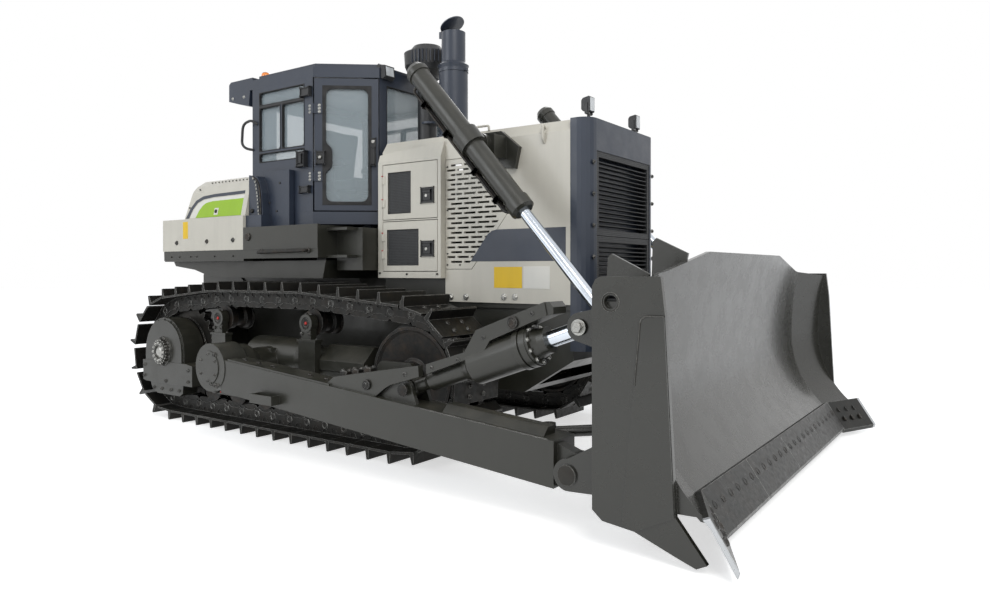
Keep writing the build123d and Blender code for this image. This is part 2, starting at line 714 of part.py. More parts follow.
def fuel_tank():
    """Rear tank: a wide sill with panels forward beside the cab, and a chamfered housing."""
    sill = block((TANK_REAR_X, TANK_FRONT_X), (-FENDER_Y, FENDER_Y), (TANK_PANEL_Z, TANK_SILL_Z))
    side = [
        (TANK_REAR_X + 355, TANK_SILL_Z - 1), (TANK_REAR_X + 425, 2330),
        (TANK_REAR_X + 520, TANK_TOP_Z - 14), (TANK_MID_X, TANK_TOP_Z),
        (TANK_FRONT_X - 6, TANK_TOP_Z - 20), (TANK_FRONT_X - 6, TANK_SILL_Z - 1),
    ]
    half = [
        (FENDER_Y - 28, TANK_SILL_Z - 1), (FENDER_Y - 82, 2300), (FENDER_Y - 112, 2370),
        (FENDER_Y - 170, 2425), (FENDER_Y - 250, TANK_TOP_Z),
    ]
    front = [(-y, z) for y, z in half] + [(y, z) for y, z in reversed(half)]
    top = side_prism(side, -FENDER_Y, FENDER_Y) & front_prism(front, TANK_REAR_X, TANK_FRONT_X)
    cab_room = block((TANK_MID_X, TANK_FRONT_X + 9), (-TANK_SIDE_IN, TANK_SIDE_IN),
                     (TANK_PANEL_Z - 9, TANK_TOP_Z + 9))
    neck = Pos(-2240, 420, TANK_TOP_Z + 14) * Cylinder(70, 70)
    return sill + top - cab_room + neck


def tank_pan():
    """Dark tray under the tank's sill."""
    low = TANK_LOW_Z + SEAT
    tray = side_prism([
        (TANK_REAR_X + 10, TANK_PANEL_Z - SEAT), (TANK_REAR_X + 14, low + 12),
        (TANK_REAR_X + 34, low), (TANK_FRONT_X, low), (TANK_FRONT_X, TANK_PANEL_Z - SEAT)],
        -FENDER_Y + 6, FENDER_Y - 6)
    room = block((TANK_MID_X, TANK_FRONT_X + 9), (-TANK_SIDE_IN, TANK_SIDE_IN), (low - 9, 1800))
    return tray - room


def fenders():
    """Walk-on platform beside the cab, with the dark step well in front of it."""
    rear = TANK_FRONT_X + SEAT
    body = block((rear, FENDER_FRONT_X), (FENDER_IN_Y, FENDER_Y - 4), (FENDER_LOW_Z, FENDER_TOP_Z))
    inner = block((TANK_MID_X + SEAT, rear + 1), (FENDER_IN_Y, TANK_SIDE_IN - SEAT),
                  (FENDER_LOW_Z, FENDER_TOP_Z))
    lip = block((rear, FENDER_FRONT_X), (FENDER_Y - 30, FENDER_Y), (1695, FENDER_TOP_Z + 8))
    well = block((FENDER_FRONT_X - 9, HOOD_REAR_X - 13), (HULL_HALF + 60, 860), (1500, 1880))
    door_swing = 65  # the lower service door passes in front of the treads
    treads = [
        block((FENDER_FRONT_X - 9, HOOD_REAR_X - 13 - door_swing), (850, 985), (z, z + 24))
        for z in (1612, 1856)
    ]
    feet = [
        block((x, x + 120), (FENDER_IN_Y + 20, FENDER_IN_Y + 160),
              (TANK_LOW_Z + SEAT, FENDER_LOW_Z + 5)) for x in (-1800, -900)
    ]
    return body.fuse(inner, lip, well, *treads, *feet)


def rear_boxes():
    """Cooler pod and the flat box behind the door, on the fender beside the cab."""
    y0, z0 = TANK_SIDE_IN, FENDER_TOP_Z + SEAT
    x0 = TANK_FRONT_X + SEAT
    base = block((x0, -1400), (y0, FENDER_Y - 32), (z0, TANK_SILL_Z))
    pod = side_prism([
        (x0, TANK_SILL_Z - 1), (-1424, TANK_SILL_Z - 1), (-1440, 2240), (-1470, 2350),
        (-1520, 2408), (x0, 2425)], y0, FENDER_Y - 70)
    flat = block((-1500, -1139), (y0, 950), (z0, 2452))
    return base.fuse(pod, flat)


# Cab


def cab_outline(inset=0.0):
    """The cab's six-sided plan with its narrow front, moved in by a wall's thickness."""
    k = inset
    slope = atan2(CAB_HALF - CAB_FRONT_HALF, CAB_FRONT_X - CAB_CORNER_X)
    rear_corner = k * tan(slope / 2)
    front_corner = k * tan((pi / 2 - slope) / 2)
    half = [
        (CAB_REAR_X + k, CAB_HALF - k),
        (CAB_CORNER_X - rear_corner, CAB_HALF - k),
        (CAB_FRONT_X - k, CAB_FRONT_HALF - front_corner),
    ]
    return half + [(x, -y) for x, y in reversed(half)]


def slanted(s, n, side=LEFT):
    """A point of the slanted door wall: s forward along it from the rear corner, n outward."""
    length = hypot(CAB_FRONT_X - CAB_CORNER_X, CAB_HALF - CAB_FRONT_HALF)
    dx, dy = (CAB_FRONT_X - CAB_CORNER_X) / length, (CAB_HALF - CAB_FRONT_HALF) / length
    return (CAB_CORNER_X + dx * s + dy * n, side * (CAB_HALF - dy * s + dx * n))


DOOR_LENGTH = hypot(CAB_FRONT_X - CAB_CORNER_X, CAB_HALF - CAB_FRONT_HALF)


def slanted_block(s, n, z):
    """A box set against the slanted door wall."""
    corners = [slanted(s[0], n[0]), slanted(s[1], n[0]), slanted(s[1], n[1]), slanted(s[0], n[1])]
    return plan_prism(corners, z[0], z[1])


def cab_base():
    """Floor, skirt and console, on rubber mounts above the hull."""
    floor = plan_prism(cab_outline(), CAB_FLOOR_Z, CAB_SILL_Z)
    well = plan_prism(cab_outline(CAB_WALL), CAB_FLOOR_Z + 50, CAB_SILL_Z + 5)
    legs = [
        block((x - 60, x + 60), (y - 60, y + 60), (TANK_LOW_Z + SEAT, CAB_FLOOR_Z + 5))
        for x in (CAB_REAR_X + 200, CAB_FRONT_X - 200) for y in (-400, 400)
    ]
    low = CAB_FLOOR_Z + 45
    console = side_prism([
        (-560, low), (-470, low), (-470, low + 620), (-560, low + 700), (-640, low + 640)],
        -180, 180)
    return (floor - well).fuse(console, *legs)


def cab_side():
    """Side wall with its large window opening. The rear pillar is part of it."""
    x0 = CAB_REAR_X + CAB_WALL + 0.3
    inner = CAB_HALF - CAB_WALL
    slant = CAB_WALL * (CAB_HALF - CAB_FRONT_HALF) / (CAB_FRONT_X - CAB_CORNER_X)
    plan = [(x0, inner), (x0, CAB_HALF), (CAB_CORNER_X, CAB_HALF), (CAB_CORNER_X - slant, inner)]
    wall = plan_prism(plan, CAB_SILL_Z, CAB_HEAD_Z)
    for x0, x1, z0, z1 in SIDE_PANES:
        wall -= block((x0, x1), (0, 2 * CAB_HALF), (z0, z1))
    return wall


SIDE_PANES = (
    (CAB_REAR_X + 112, CAB_CORNER_X - 122, 3128, 3248),
    (CAB_REAR_X + 112, -1346, 2676, 3098),
    (-1314, CAB_CORNER_X - 122, 2676, 3098),
    (CAB_REAR_X + 112, CAB_CORNER_X - 122, 2566, 2646),
)
REAR_WINDOW = (-640, 640, 2560, 3230)
FRONT_WINDOW = (-400, 400, 2480, 3240)
FRONT_LOW_WINDOW = (-400, 400, 2100, 2420)


def cab_rear():
    """Rear wall between the side walls, with its window opening."""
    wall = block((CAB_REAR_X, CAB_REAR_X + CAB_WALL), (-CAB_HALF, CAB_HALF), (CAB_SILL_Z, CAB_HEAD_Z))
    y0, y1, z0, z1 = REAR_WINDOW
    return wall - block((CAB_REAR_X - 5, CAB_REAR_X + CAB_WALL + 5), (y0, y1), (z0, z1))


def cab_front():
    """Front wall with the windscreen and foot window, and the door posts at its sides."""
    half = CAB_FRONT_HALF
    inner = half - CAB_WALL * (CAB_FRONT_X - CAB_CORNER_X) / (CAB_HALF - CAB_FRONT_HALF)
    x = CAB_FRONT_X - CAB_WALL
    wall = plan_prism([(x, -inner), (CAB_FRONT_X, -half), (CAB_FRONT_X, half), (x, inner)],
                      CAB_SILL_Z, CAB_HEAD_Z)
    for y0, y1, z0, z1 in (FRONT_WINDOW, FRONT_LOW_WINDOW):
        wall -= block((CAB_FRONT_X - CAB_WALL - 5, CAB_FRONT_X + 5), (y0, y1), (z0, z1))
    return wall


def cab_roof():
    """Roof slab with a rear air box and lamp brackets."""
    slab = plan_prism(cab_outline(), CAB_HEAD_Z, CAB_ROOF_Z - 40)
    crown = plan_prism(cab_outline(46), CAB_ROOF_Z - 41, CAB_ROOF_Z)
    box = side_prism([(CAB_REAR_X - 380, 3230), (CAB_REAR_X - 380, 3400), (CAB_REAR_X - 350, 3425),
                      (CAB_REAR_X + 1, 3425), (CAB_REAR_X + 1, 3301), (CAB_REAR_X - 40, 3301),
                      (CAB_REAR_X - 60, 3150), (CAB_REAR_X - 200, 3180)], -CAB_HALF, CAB_HALF)
    return slab + crown + box


def cab_glass():
    """Fixed panes, one in each window opening."""
    gap = 0.3
    side_mid = CAB_HALF - CAB_WALL / 2
    panes = []
    for x0, x1, z0, z1 in SIDE_PANES:
        side = block((x0 + gap, x1 - gap), (side_mid - GLASS / 2, side_mid + GLASS / 2),
                     (z0 + gap, z1 - gap))
        panes += [side, mirrored(side)]
    y0, y1, z0, z1 = REAR_WINDOW
    x = CAB_REAR_X + CAB_WALL / 2
    panes.append(block((x - GLASS / 2, x + GLASS / 2), (y0 + gap, y1 - gap), (z0 + gap, z1 - gap)))
    for y0, y1, z0, z1 in (FRONT_WINDOW, FRONT_LOW_WINDOW):
        x = CAB_FRONT_X - CAB_WALL / 2
        panes.append(block((x - GLASS / 2, x + GLASS / 2), (y0 + gap, y1 - gap), (z0 + gap, z1 - gap)))
    return panes


DOOR_GLASS = (110, 520, 2130, 3200)


def cab_door():
    """Door leaf with its window opening, hinge leaves and an outside handle."""
    leaf = slanted_block((14, DOOR_LENGTH - 8), (-46, 0), (CAB_DOOR_LOW_Z, CAB_DOOR_TOP_Z))
    s0, s1, z0, z1 = DOOR_GLASS
    leaf -= slanted_block((s0, s1), (-60, 20), (z0, z1))
    for z in (2330, 2960):
        leaf += slanted_block((14, 90), (-1, 10), (z, z + 90))
        knuckle = slanted(0, HINGE_OUT)
        leaf += bar((knuckle[0], knuckle[1], z), (knuckle[0], knuckle[1], z + 90), 12)
        leaf += slanted_block((0, 30), (3, 15), (z, z + 90))
    leaf += slanted_block((DOOR_LENGTH - 70, DOOR_LENGTH - 40), (-1, 34), (2560, 2700))
    return leaf


def door_glass():
    """The door's pane."""
    s0, s1, z0, z1 = DOOR_GLASS
    gap = 0.3
    return slanted_block((s0 + gap, s1 - gap), (-27, -27 + GLASS), (z0 + gap, z1 - gap))


def operator_seat():
    """Seat with armrests on a pedestal."""
    floor = CAB_FLOOR_Z + 50.3
    base = block((-1420, -1080), (-220, 220), (floor, floor + 330))
    cushion = block((-1460, -980), (-250, 250), (floor + 325, floor + 450))
    back = side_prism([
        (-1500, floor + 400), (-1380, floor + 400), (-1500, floor + 1000), (-1600, floor + 1000)],
        -230, 230)
    arms = [
        block((-1420, -1060), (s * 300 - 45, s * 300 + 45), (floor + 560, floor + 640))
        for s in (-1, 1)
    ]
    stands = [
        block((-1300, -1180), (s * 270 - 40, s * 270 + 40), (floor + 200, floor + 570))
        for s in (-1, 1)
    ]
    return base.fuse(cushion, back, *arms, *stands)


# Stacks and lamps


def exhaust():
    """Stack with a flared foot on the hood."""
    low, deck, top, r = HOOD_TOP_Z - 60, HOOD_TOP_Z, EXHAUST_TOP_Z, EXHAUST_R
    profile = [
        (low, 0), (low, r - 20), (deck + SEAT, r - 20), (deck + SEAT, r + 26), (deck + 40, r + 26),
        (deck + 60, r), (top - 330, r), (top - 300, r + 10), (top - 270, r - 22), (top, r - 22),
        (top, r - 34), (top - 250, r - 34), (top - 250, 0),
    ]
    stack = turned(profile, (EXHAUST_X, EXHAUST_Y, 0), (0, 0, 1))
    x, z = RAIN_HINGE
    ears = [
        side_prism([
            (x - 12, z + 10), (x - 12, z - 50), (x + 40, z - 60), (x + 40, z - 30),
            (x + 12, z - 12), (x + 12, z + 10)], EXHAUST_Y + y, EXHAUST_Y + y + 8)
        for y in (-26 - 8, 26)
    ]
    pin = disc(x, z, 5, EXHAUST_Y - 30, EXHAUST_Y + 30)
    return stack.fuse(*ears, pin)


RAIN_HINGE = (EXHAUST_X - EXHAUST_R + 2, EXHAUST_TOP_Z + 14)
RAIN_OPEN = 28


def rain_cap():
    """Lid of the stack, standing open on its rear hinge."""
    r = EXHAUST_R - 16
    lid = Pos(EXHAUST_X, EXHAUST_Y, EXHAUST_TOP_Z + 12) * Cylinder(r, 10)
    arm = block((EXHAUST_X - EXHAUST_R - 4, EXHAUST_X - 40), (EXHAUST_Y - 18, EXHAUST_Y + 18),
                (EXHAUST_TOP_Z + 7, EXHAUST_TOP_Z + 24))
    x, z = RAIN_HINGE
    knuckle = disc(x, z, 9, EXHAUST_Y - 24, EXHAUST_Y + 24)
    hole = disc(x, z, 5 + RUN_FIT, EXHAUST_Y - 50, EXHAUST_Y + 50)
    cap = lid + arm + knuckle - hole
    hinge = Axis((x, EXHAUST_Y, z), (0, 1, 0))
    return cap.rotate(hinge, -RAIN_OPEN)


def precleaner():
    """Air pre-cleaner bowl on its intake pipe."""
    low, rim, top, r = HOOD_TOP_Z - 60, CLEANER_LOW_Z, CLEANER_TOP_Z, CLEANER_R
    foot = (CLEANER_X + 40, CLEANER_Y, 0)
    pipe = turned([(low, 0), (low, 92), (rim + 6, 92), (rim + 6, 0)], foot, (0, 0, 1))
    bowl = turned([
        (rim, 0), (rim, 110), (rim + 60, r - 30), (rim + 110, r - 8), (top - 70, r),
        (top - 60, r - 40), (top, r - 90), (top, 0)], foot, (0, 0, 1))
    return pipe + bowl


def lamps():
    """Work lamps on the hood and at the roof's front corners, and the beacon."""
    parts = []
    for y in (-460, 390):
        x, z = 1776, HOOD_TOP_Z + SEAT
        foot = block((x - 30, x + 30), (y - 36, y + 36), (z, z + 12))
        yoke = block((x - 8, x + 8), (y - 46, y + 46), (z + 40, z + 52))
        stem = block((x - 8, x + 8), (y - 12, y + 12), (z + 10, z + 44))
        ears = [block((x - 12, x + 12), (y + s * 42 - 4, y + s * 42 + 4), (z + 44, z + 130))
                for s in (-1, 1)]
        head = side_prism([
            (x - 44, z + 82), (x - 30, z + 66), (x + 22, z + 58), (x + 30, z + 64),
            (x + 30, z + 172), (x + 22, z + 178), (x - 30, z + 168), (x - 44, z + 150)],
            y - 40, y + 40)
        parts.append(foot.fuse(yoke, stem, head, *ears))
    for side in (RIGHT, LEFT):
        x, z = CAB_FRONT_X, CAB_ROOF_Z - 40 + SEAT
        y = side * (CAB_FRONT_HALF - 80)
        bracket = side_prism([
            (x - 42, z), (x + 2, z), (x + 2, z + 26), (x - 20, z + 44), (x - 42, z + 30)],
            y - 70, y + 70)
        head = side_prism([
            (x + 1.3, z - 96), (x + 30, z - 104), (x + 66, z - 82), (x + 52, z + 22),
            (x + 1.3, z + 30)], y - 66, y + 66)
        parts.append(bracket + head)
    x, y, z = BEACON
    parts.append(turned([
        (z, 0), (z, 66), (z + 22, 66), (z + 30, 50), (z + 52, 50), (z + 60, 44), (z + 150, 42),
        (z + 172, 34), (z + 180, 0)], (x, y, 0), (0, 0, 1)))
    return parts


BEACON = (-2060, -500, 3425 + SEAT)


# Work gear


def lift_line():
    """Unit vector down the lift cylinder and its length from trunnion to rod eye."""
    dx, dz = LIFT_EYE_X - LIFT_TRUNNION_X, LIFT_EYE_Z - LIFT_TRUNNION_Z
    length = hypot(dx, dz)
    return dx / length, dz / length, length


def lift_yoke():
    """Bracket on the hood's side that carries the lift cylinder's trunnions."""
    x, z = LIFT_TRUNNION_X, LIFT_TRUNNION_Z
    side_y = LIFT_Y - LIFT_BARREL_R
    base = side_prism([
        (x - 210, z - 150), (x + 190, z - 190), (x + 230, z - 20), (x + 60, z + 120),
        (x - 210, z + 120)], HOOD_HALF + SEAT, HOOD_HALF + 44)
    arm = side_prism([
        (x - 120, z - 90), (x + 110, z - 110), (x + 110, z + 70), (x - 120, z + 80)],
        HOOD_HALF + 40, side_y - 92)
    pad = disc(x, z, 78, side_y - 95, side_y - 40)
    pin = disc(x, z, 36, side_y - 45, side_y - 6)
    return base.fuse(arm, pad, pin)


def lift_barrel():
    """Cylinder barrel with its trunnion collar, tail cap and gland."""
    ux, uz, _ = lift_line()
    x, z, r = LIFT_TRUNNION_X, LIFT_TRUNNION_Z, LIFT_BARREL_R
    tail, head, fit = -LIFT_TAIL, LIFT_HEAD, LIFT_ROD_R + ROD_GAP
    profile = [
        (tail, 0), (tail, r - 14), (tail + 40, r + 10), (tail + 90, r + 10), (tail + 92, r),
        (-70, r), (-70, r + 24), (70, r + 24), (70, r), (head - 110, r), (head - 108, r + 12),
        (head - 20, r + 12), (head, r - 10), (head, fit), (head - 120, fit),
        (head - 120, LIFT_BORE_R), (tail + 60, LIFT_BORE_R), (tail + 60, 0),
    ]
    body = turned(profile, (x, LIFT_Y, z), (ux, 0, uz))
    boss = disc(x, z, 62, LIFT_Y - r - 38, LIFT_Y - r + 10)
    hole = disc(x, z, 36 + RUN_FIT, LIFT_Y - r - 50, LIFT_Y - r - 4)
    bore = bar((x - ux * 300, LIFT_Y, z - uz * 300), (x + ux * 300, LIFT_Y, z + uz * 300), LIFT_BORE_R)
    return body + boss - hole - bore


def lift_rod():
    """Chromed rod with its eye at the blade."""
    ux, uz, length = lift_line()
    start = LIFT_HEAD - 220
    a = (LIFT_TRUNNION_X + ux * start, LIFT_Y, LIFT_TRUNNION_Z + uz * start)
    b = (LIFT_EYE_X - ux * 40, LIFT_Y, LIFT_EYE_Z - uz * 40)
    rod = bar(a, b, LIFT_ROD_R)
    eye = disc(LIFT_EYE_X, LIFT_EYE_Z, LIFT_EYE_R, LIFT_Y - LIFT_EYE_HALF, LIFT_Y + LIFT_EYE_HALF)
    return (rod + eye) - disc(LIFT_EYE_X, LIFT_EYE_Z, 36, LIFT_Y - 60, LIFT_Y + 60)


def arm_side(x):
    """The push arm's lower and upper edge at a place along it."""
    t = (x - ARM_REAR_X) / (ARM_FRONT_X - ARM_REAR_X)
    return tuple(a + (b - a) * t for a, b in zip(ARM_REAR_Z, ARM_FRONT_Z))


def along_arm(section, x0, x1):
    """A bar on the push arm's sloping top. The section is (y, height above the top)."""
    rise = arm_side(x1)[1] - arm_side(x0)[1]
    plane = Plane(origin=(x0, 0, arm_side(x0)[1]), x_dir=(0, 1, 0), z_dir=(1, 0, 0))
    way = Vector(x1 - x0, 0, rise)
    return extrude(plane * Polygon(*section, align=None), amount=way.length, dir=way.normalized())


def push_arm():
    """Box-section push arm: drum round the trunnion at the rear, eye at the front."""
    beam = side_prism([
        (ARM_REAR_X, ARM_REAR_Z[0]), (ARM_FRONT_X, ARM_FRONT_Z[0]),
        (ARM_FRONT_X, ARM_FRONT_Z[1]), (ARM_REAR_X, ARM_REAR_Z[1])], ARM_IN_Y, ARM_OUT_Y)
    y0, y1 = TRUNNION_Y - 95, ARM_OUT_Y + 6
    drum = disc(DRUM_X, DRUM_Z, DRUM_R, y0, y1)
    drum &= block((DRUM_X - 400, ARM_REAR_X + 60), (y0 - 9, y1 + 9), (0, 2000))
    cover = disc(DRUM_X - 20, DRUM_Z, DRUM_R - 60, y1 - 1, y1 + 7)
    snout = side_prism([
        (ARM_FRONT_X - 5, ARM_FRONT_Z[0] + 8), (BLADE_PIN_X, BLADE_PIN_Z - EYE_R),
        (BLADE_PIN_X, BLADE_PIN_Z + EYE_R), (ARM_FRONT_X - 5, ARM_FRONT_Z[1] - 20)],
        BLADE_PIN_Y - EYE_HALF, BLADE_PIN_Y + EYE_HALF)
    eye = disc(BLADE_PIN_X, BLADE_PIN_Z, EYE_R, BLADE_PIN_Y - EYE_HALF, BLADE_PIN_Y + EYE_HALF)
    strip = along_arm([(ARM_OUT_Y - 8, -4), (ARM_OUT_Y - 8, 14), (1780, 14), (1780, -4)], -800, 400)
    fillet = along_arm([(ARM_OUT_Y - 30, -4), (1782, 50), (1700, 50), (1700, -4)], 1436, 2203)
    step = block((-400, -140), (ARM_OUT_Y + 66, ARM_OUT_Y + 78), (470, 540))
    tread = block((-400, -140), (ARM_OUT_Y - 5, ARM_OUT_Y + 78), (470, 482))
    sides = [
        block((x, x + 12), (ARM_OUT_Y - 5, ARM_OUT_Y + 78), (470, 540)) for x in (-400, -152)
    ]
    arm = beam.fuse(drum, cover, snout, eye, strip, fillet, step, tread, *sides)
    arm -= Pos(TRUNNION_X, TRUNNION_Y, TRUNNION_Z) * Sphere(TRUNNION_BALL_R + BALL_GAP)
    arm -= disc(TRUNNION_X, TRUNNION_Z, 86, TRUNNION_Y - 110, TRUNNION_Y)
    return arm


def arm_lugs(y):
    """Twin lugs on the push arm for the tilt cylinder or the brace."""
    x, z = TILT_TAIL_X, TILT_TAIL_Z
    low = arm_side(x)[1] - 20
    plates = []
    reach = TILT_EYE_HALF + TILT_LUG_GAP
    for y0 in (y - reach - 30, y + reach):
        plate = side_prism([
            (x - 260, arm_side(x - 260)[1] - 20), (x + 110, low - 12), (x + 62, z),
            (x - 62, z + 40), (x - 200, z + 20)], y0, y0 + 30)
        plates.append(plate + disc(x, z, 62, y0, y0 + 30))
    pin = disc(x, z, TILT_PIN_R, y - reach - 42, y + reach + 42)
    return plates[0].fuse(plates[1], pin, Pos(x, y, z) * Sphere(TILT_BALL_R))


def push_arm_left():
    """Left arm: its ball socket is the real seat of the blade's ball."""
    arm = push_arm().fuse(arm_lugs(TILT_Y))
    socket = Pos(BLADE_PIN_X, BLADE_PIN_Y, BLADE_PIN_Z) * Sphere(BALL_R + BALL_GAP)
    return arm - socket


def hose_cover():
    """Cover on the right arm, which leads up to the tilt cylinder's own hose guard."""
    rear = side_prism([
        (340, arm_side(340)[1] - 6), (433, 727), (762, 785), (962, 819), (962, 708),
        (840, arm_side(840)[1] - 6)], 1690, 1846)
    front = side_prism([
        (900, 808), (1238, 866), (1244, 792), (985, 716), (900, 670)], 1800, 1846)
    return rear + front


def push_arm_right():
    """Right arm: it carries the tilt cylinder, and its eye has room for the blade's swing."""
    arm = push_arm().fuse(arm_lugs(TILT_Y), hose_cover())
    socket = disc(BLADE_PIN_X, BLADE_PIN_Z, PIN_R + PIN_FLOAT, BLADE_PIN_Y - 200, BLADE_PIN_Y + 200)
    return arm - socket


def tilt_line():
    """Unit vector up the tilt cylinder and its length."""
    dx, dz = TILT_EYE_X - TILT_TAIL_X, TILT_EYE_Z - TILT_TAIL_Z
    length = hypot(dx, dz)
    return dx / length, dz / length, length


def tail_socket():
    """Room for the ball and pin on the push arm's lugs."""
    hole = disc(TILT_TAIL_X, TILT_TAIL_Z, TILT_PIN_R + 6, TILT_Y - 99, TILT_Y + 99)
    return hole + Pos(TILT_TAIL_X, TILT_Y, TILT_TAIL_Z) * Sphere(TILT_BALL_R + BALL_GAP)


def tilt_guard():
    """Folded hose guard over the tilt cylinder, with the valve block at its front end."""
    shell = side_prism([
        (1292, 878), (1612, 977), (1702, 1122), (2204, 1311), (2222, 1232), (1810, 1062),
        (1754, 978), (1296, 812)], 1660, 1830)
    cap = side_prism([
        (2196, 1308), (2236, 1313), (2262, 1282), (2262, 1240), (2214, 1228)], 1668, 1822)
    return shell + cap


def tilt_barrel():
    """Tilt cylinder: tail eye, thin tail tube, fat barrel, bolted gland and hose guard."""
    ux, uz, _ = tilt_line()
    c = (TILT_TAIL_X, TILT_Y, TILT_TAIL_Z)
    r = TILT_BARREL_R
    profile = [
        (30, 0), (30, 46), (150, 46), (190, TILT_TAIL_R), (500, TILT_TAIL_R + 4),
        (505, TILT_TAIL_R + 14), (560, r - 22), (585, r), (960, r), (962, r + 10),
        (1000, r + 10), (1002, r), (1012, r), (1014, r + 10), (1054, r + 10), (1056, r + 4),
        (1072, r + 4), (1074, r - 26), (1112, TILT_ROD_R + 34), (1160, TILT_ROD_R + 30),
        (1160, TILT_ROD_R + ROD_GAP), (1040, TILT_ROD_R + ROD_GAP), (1040, TILT_BORE_R),
        (620, TILT_BORE_R), (620, 0),
    ]
    body = turned(profile, c, (ux, 0, uz))
    eye = disc(c[0], c[2], TILT_TAIL_R, TILT_Y - TILT_EYE_HALF, TILT_Y + TILT_EYE_HALF)
    bore = [(620, 0), (620, TILT_BORE_R), (1040, TILT_BORE_R), (1040, 0)]
    guard = tilt_guard() - turned(bore, c, (ux, 0, uz))
    return body.fuse(eye, guard) - tail_socket()


def tilt_rod():
    """Rod with its eye at the blade's upper clevis."""
    ux, uz, length = tilt_line()
    a = (TILT_TAIL_X + ux * 860, TILT_Y, TILT_TAIL_Z + uz * 860)
    b = (TILT_EYE_X - ux * 40, TILT_Y, TILT_EYE_Z - uz * 40)
    rod = bar(a, b, TILT_ROD_R)
    eye = disc(TILT_EYE_X, TILT_EYE_Z, TILT_EYE_R, TILT_Y - TILT_EYE_HALF, TILT_Y + TILT_EYE_HALF)
    hole = disc(TILT_EYE_X, TILT_EYE_Z, TILT_PIN_R + TILT_PIN_FLOAT, TILT_Y - 99, TILT_Y + 99)
    return (rod + eye) - hole


def brace():
    """Screw brace on the left side, from the arm's lugs to the blade's clevis."""
    ux, uz, length = tilt_line()
    c = (TILT_TAIL_X, TILT_Y, TILT_TAIL_Z)
    profile = [
        (30, 0), (30, 46), (150, 46), (190, 58), (520, 58), (525, 78), (900, 78), (905, 92),
        (960, 92), (965, 60), (length - 170, 52), (length - 150, 44), (length - 30, 44), (length - 30, 0),
    ]
    body = turned(profile, c, (ux, 0, uz))
    tail = disc(c[0], c[2], TILT_TAIL_R, TILT_Y - TILT_EYE_HALF, TILT_Y + TILT_EYE_HALF)
    head = disc(TILT_EYE_X, TILT_EYE_Z, 72, TILT_Y - TILT_EYE_HALF, TILT_Y + TILT_EYE_HALF)
    body = body.fuse(tail, head)
    return body - tail_socket() - disc(TILT_EYE_X, TILT_EYE_Z, TILT_PIN_R + 16, TILT_Y - 99, TILT_Y + 99)


# Blade


def face_x(z):
    """The moldboard's front face: a long arc above the belly, a tight one below."""
    r = UPPER_CURVE_R if z > BLADE_BELLY_Z else LOWER_CURVE_R
    return BLADE_BELLY_X + r - sqrt(r * r - (z - BLADE_BELLY_Z) ** 2)


def moldboard_section(y):
    """Section of the curved sheet and the lip behind the cutting edge, as a face at y."""
    top = (face_x(BLADE_TOP_Z), y, BLADE_TOP_Z)
    belly = (BLADE_BELLY_X, y, BLADE_BELLY_Z)
    lip = (face_x(LIP_Z), y, LIP_Z)
    t = MOLD_PLATE
    upper_mid = (BLADE_BELLY_Z + BLADE_TOP_Z) / 2
    lower_mid = (BLADE_BELLY_Z + LIP_Z) / 2
    back_top = (top[0] - t, y, BLADE_TOP_Z)
    back_belly = (BLADE_BELLY_X - t, y, BLADE_BELLY_Z)
    back_lip = (lip[0] - t * 1.35, y, LIP_Z)
    edges = [
        ThreePointArc(top, (face_x(upper_mid), y, upper_mid), belly),
        ThreePointArc(belly, (face_x(lower_mid), y, lower_mid), lip),
        Line(lip, back_lip),
        ThreePointArc(back_lip, (face_x(lower_mid) - t, y, lower_mid), back_belly),
        ThreePointArc(back_belly, (face_x(upper_mid) - t, y, upper_mid), back_top),
        Line(back_top, top),
    ]
    return make_face(edges)


def wing_dir():
    """Direction of a wing, outward and forward of the knee."""
    run = WING_END_Y - KNEE_Y
    return Vector(WING_ADVANCE, run, 0), hypot(WING_ADVANCE, run)


def moldboard():
    """The curved sheet: a straight middle and two wings turned forward, with its sloped top edge."""
    middle = extrude(moldboard_section(-KNEE_Y), amount=2 * KNEE_Y, dir=(0, 1, 0))
    way, length = wing_dir()
    wing = extrude(moldboard_section(KNEE_Y), amount=length, dir=way.normalized())
    sheet = middle.fuse(wing, mirrored(wing))
    half = [
        (BLADE_FLAT_HALF, BLADE_TOP_Z), (KNEE_Y - 100, BLADE_SHOULDER_Z),
        (WING_END_Y + 1, BLADE_WING_TOP_Z), (WING_END_Y + 1, 0),
    ]
    outline = [(-y, z) for y, z in reversed(half)] + half
    return sheet & front_prism(outline, 2000, 4000)


def behind(low, high):
    """Points up the middle of the sheet's thickness, from one height to another."""
    count = max(2, int((high - low) / 55))
    heights = [low + (high - low) * k / count for k in range(count + 1)]
    return [(face_x(z) - MOLD_PLATE / 2, z) for z in heights]


def blade_back():
    """Box beams and ribs welded on the back of the sheet."""
    low_box = [(BACK_X + 120, 262)] + behind(270, 560) + [(BACK_X, 560), (BACK_X, 330)]
    mid_box = [(BACK_X + 40, 850)] + behind(850, 1010) + [(BACK_X + 40, 1010)]
    top_box = [(BACK_X + 40, 1362)] + behind(1330, 1462) + [(BACK_X + 40, 1462)]
    beams = [side_prism(box, -KNEE_Y, KNEE_Y) for box in (low_box, mid_box, top_box)]
    rib = [(BACK_X + 5, 555)] + behind(555, 1366) + [(BACK_X + 45, 1366)]
    for y in (-1300, -420, 0, 420, 1300):
        beams.append(side_prism(rib, y - 13, y + 13))
    return beams


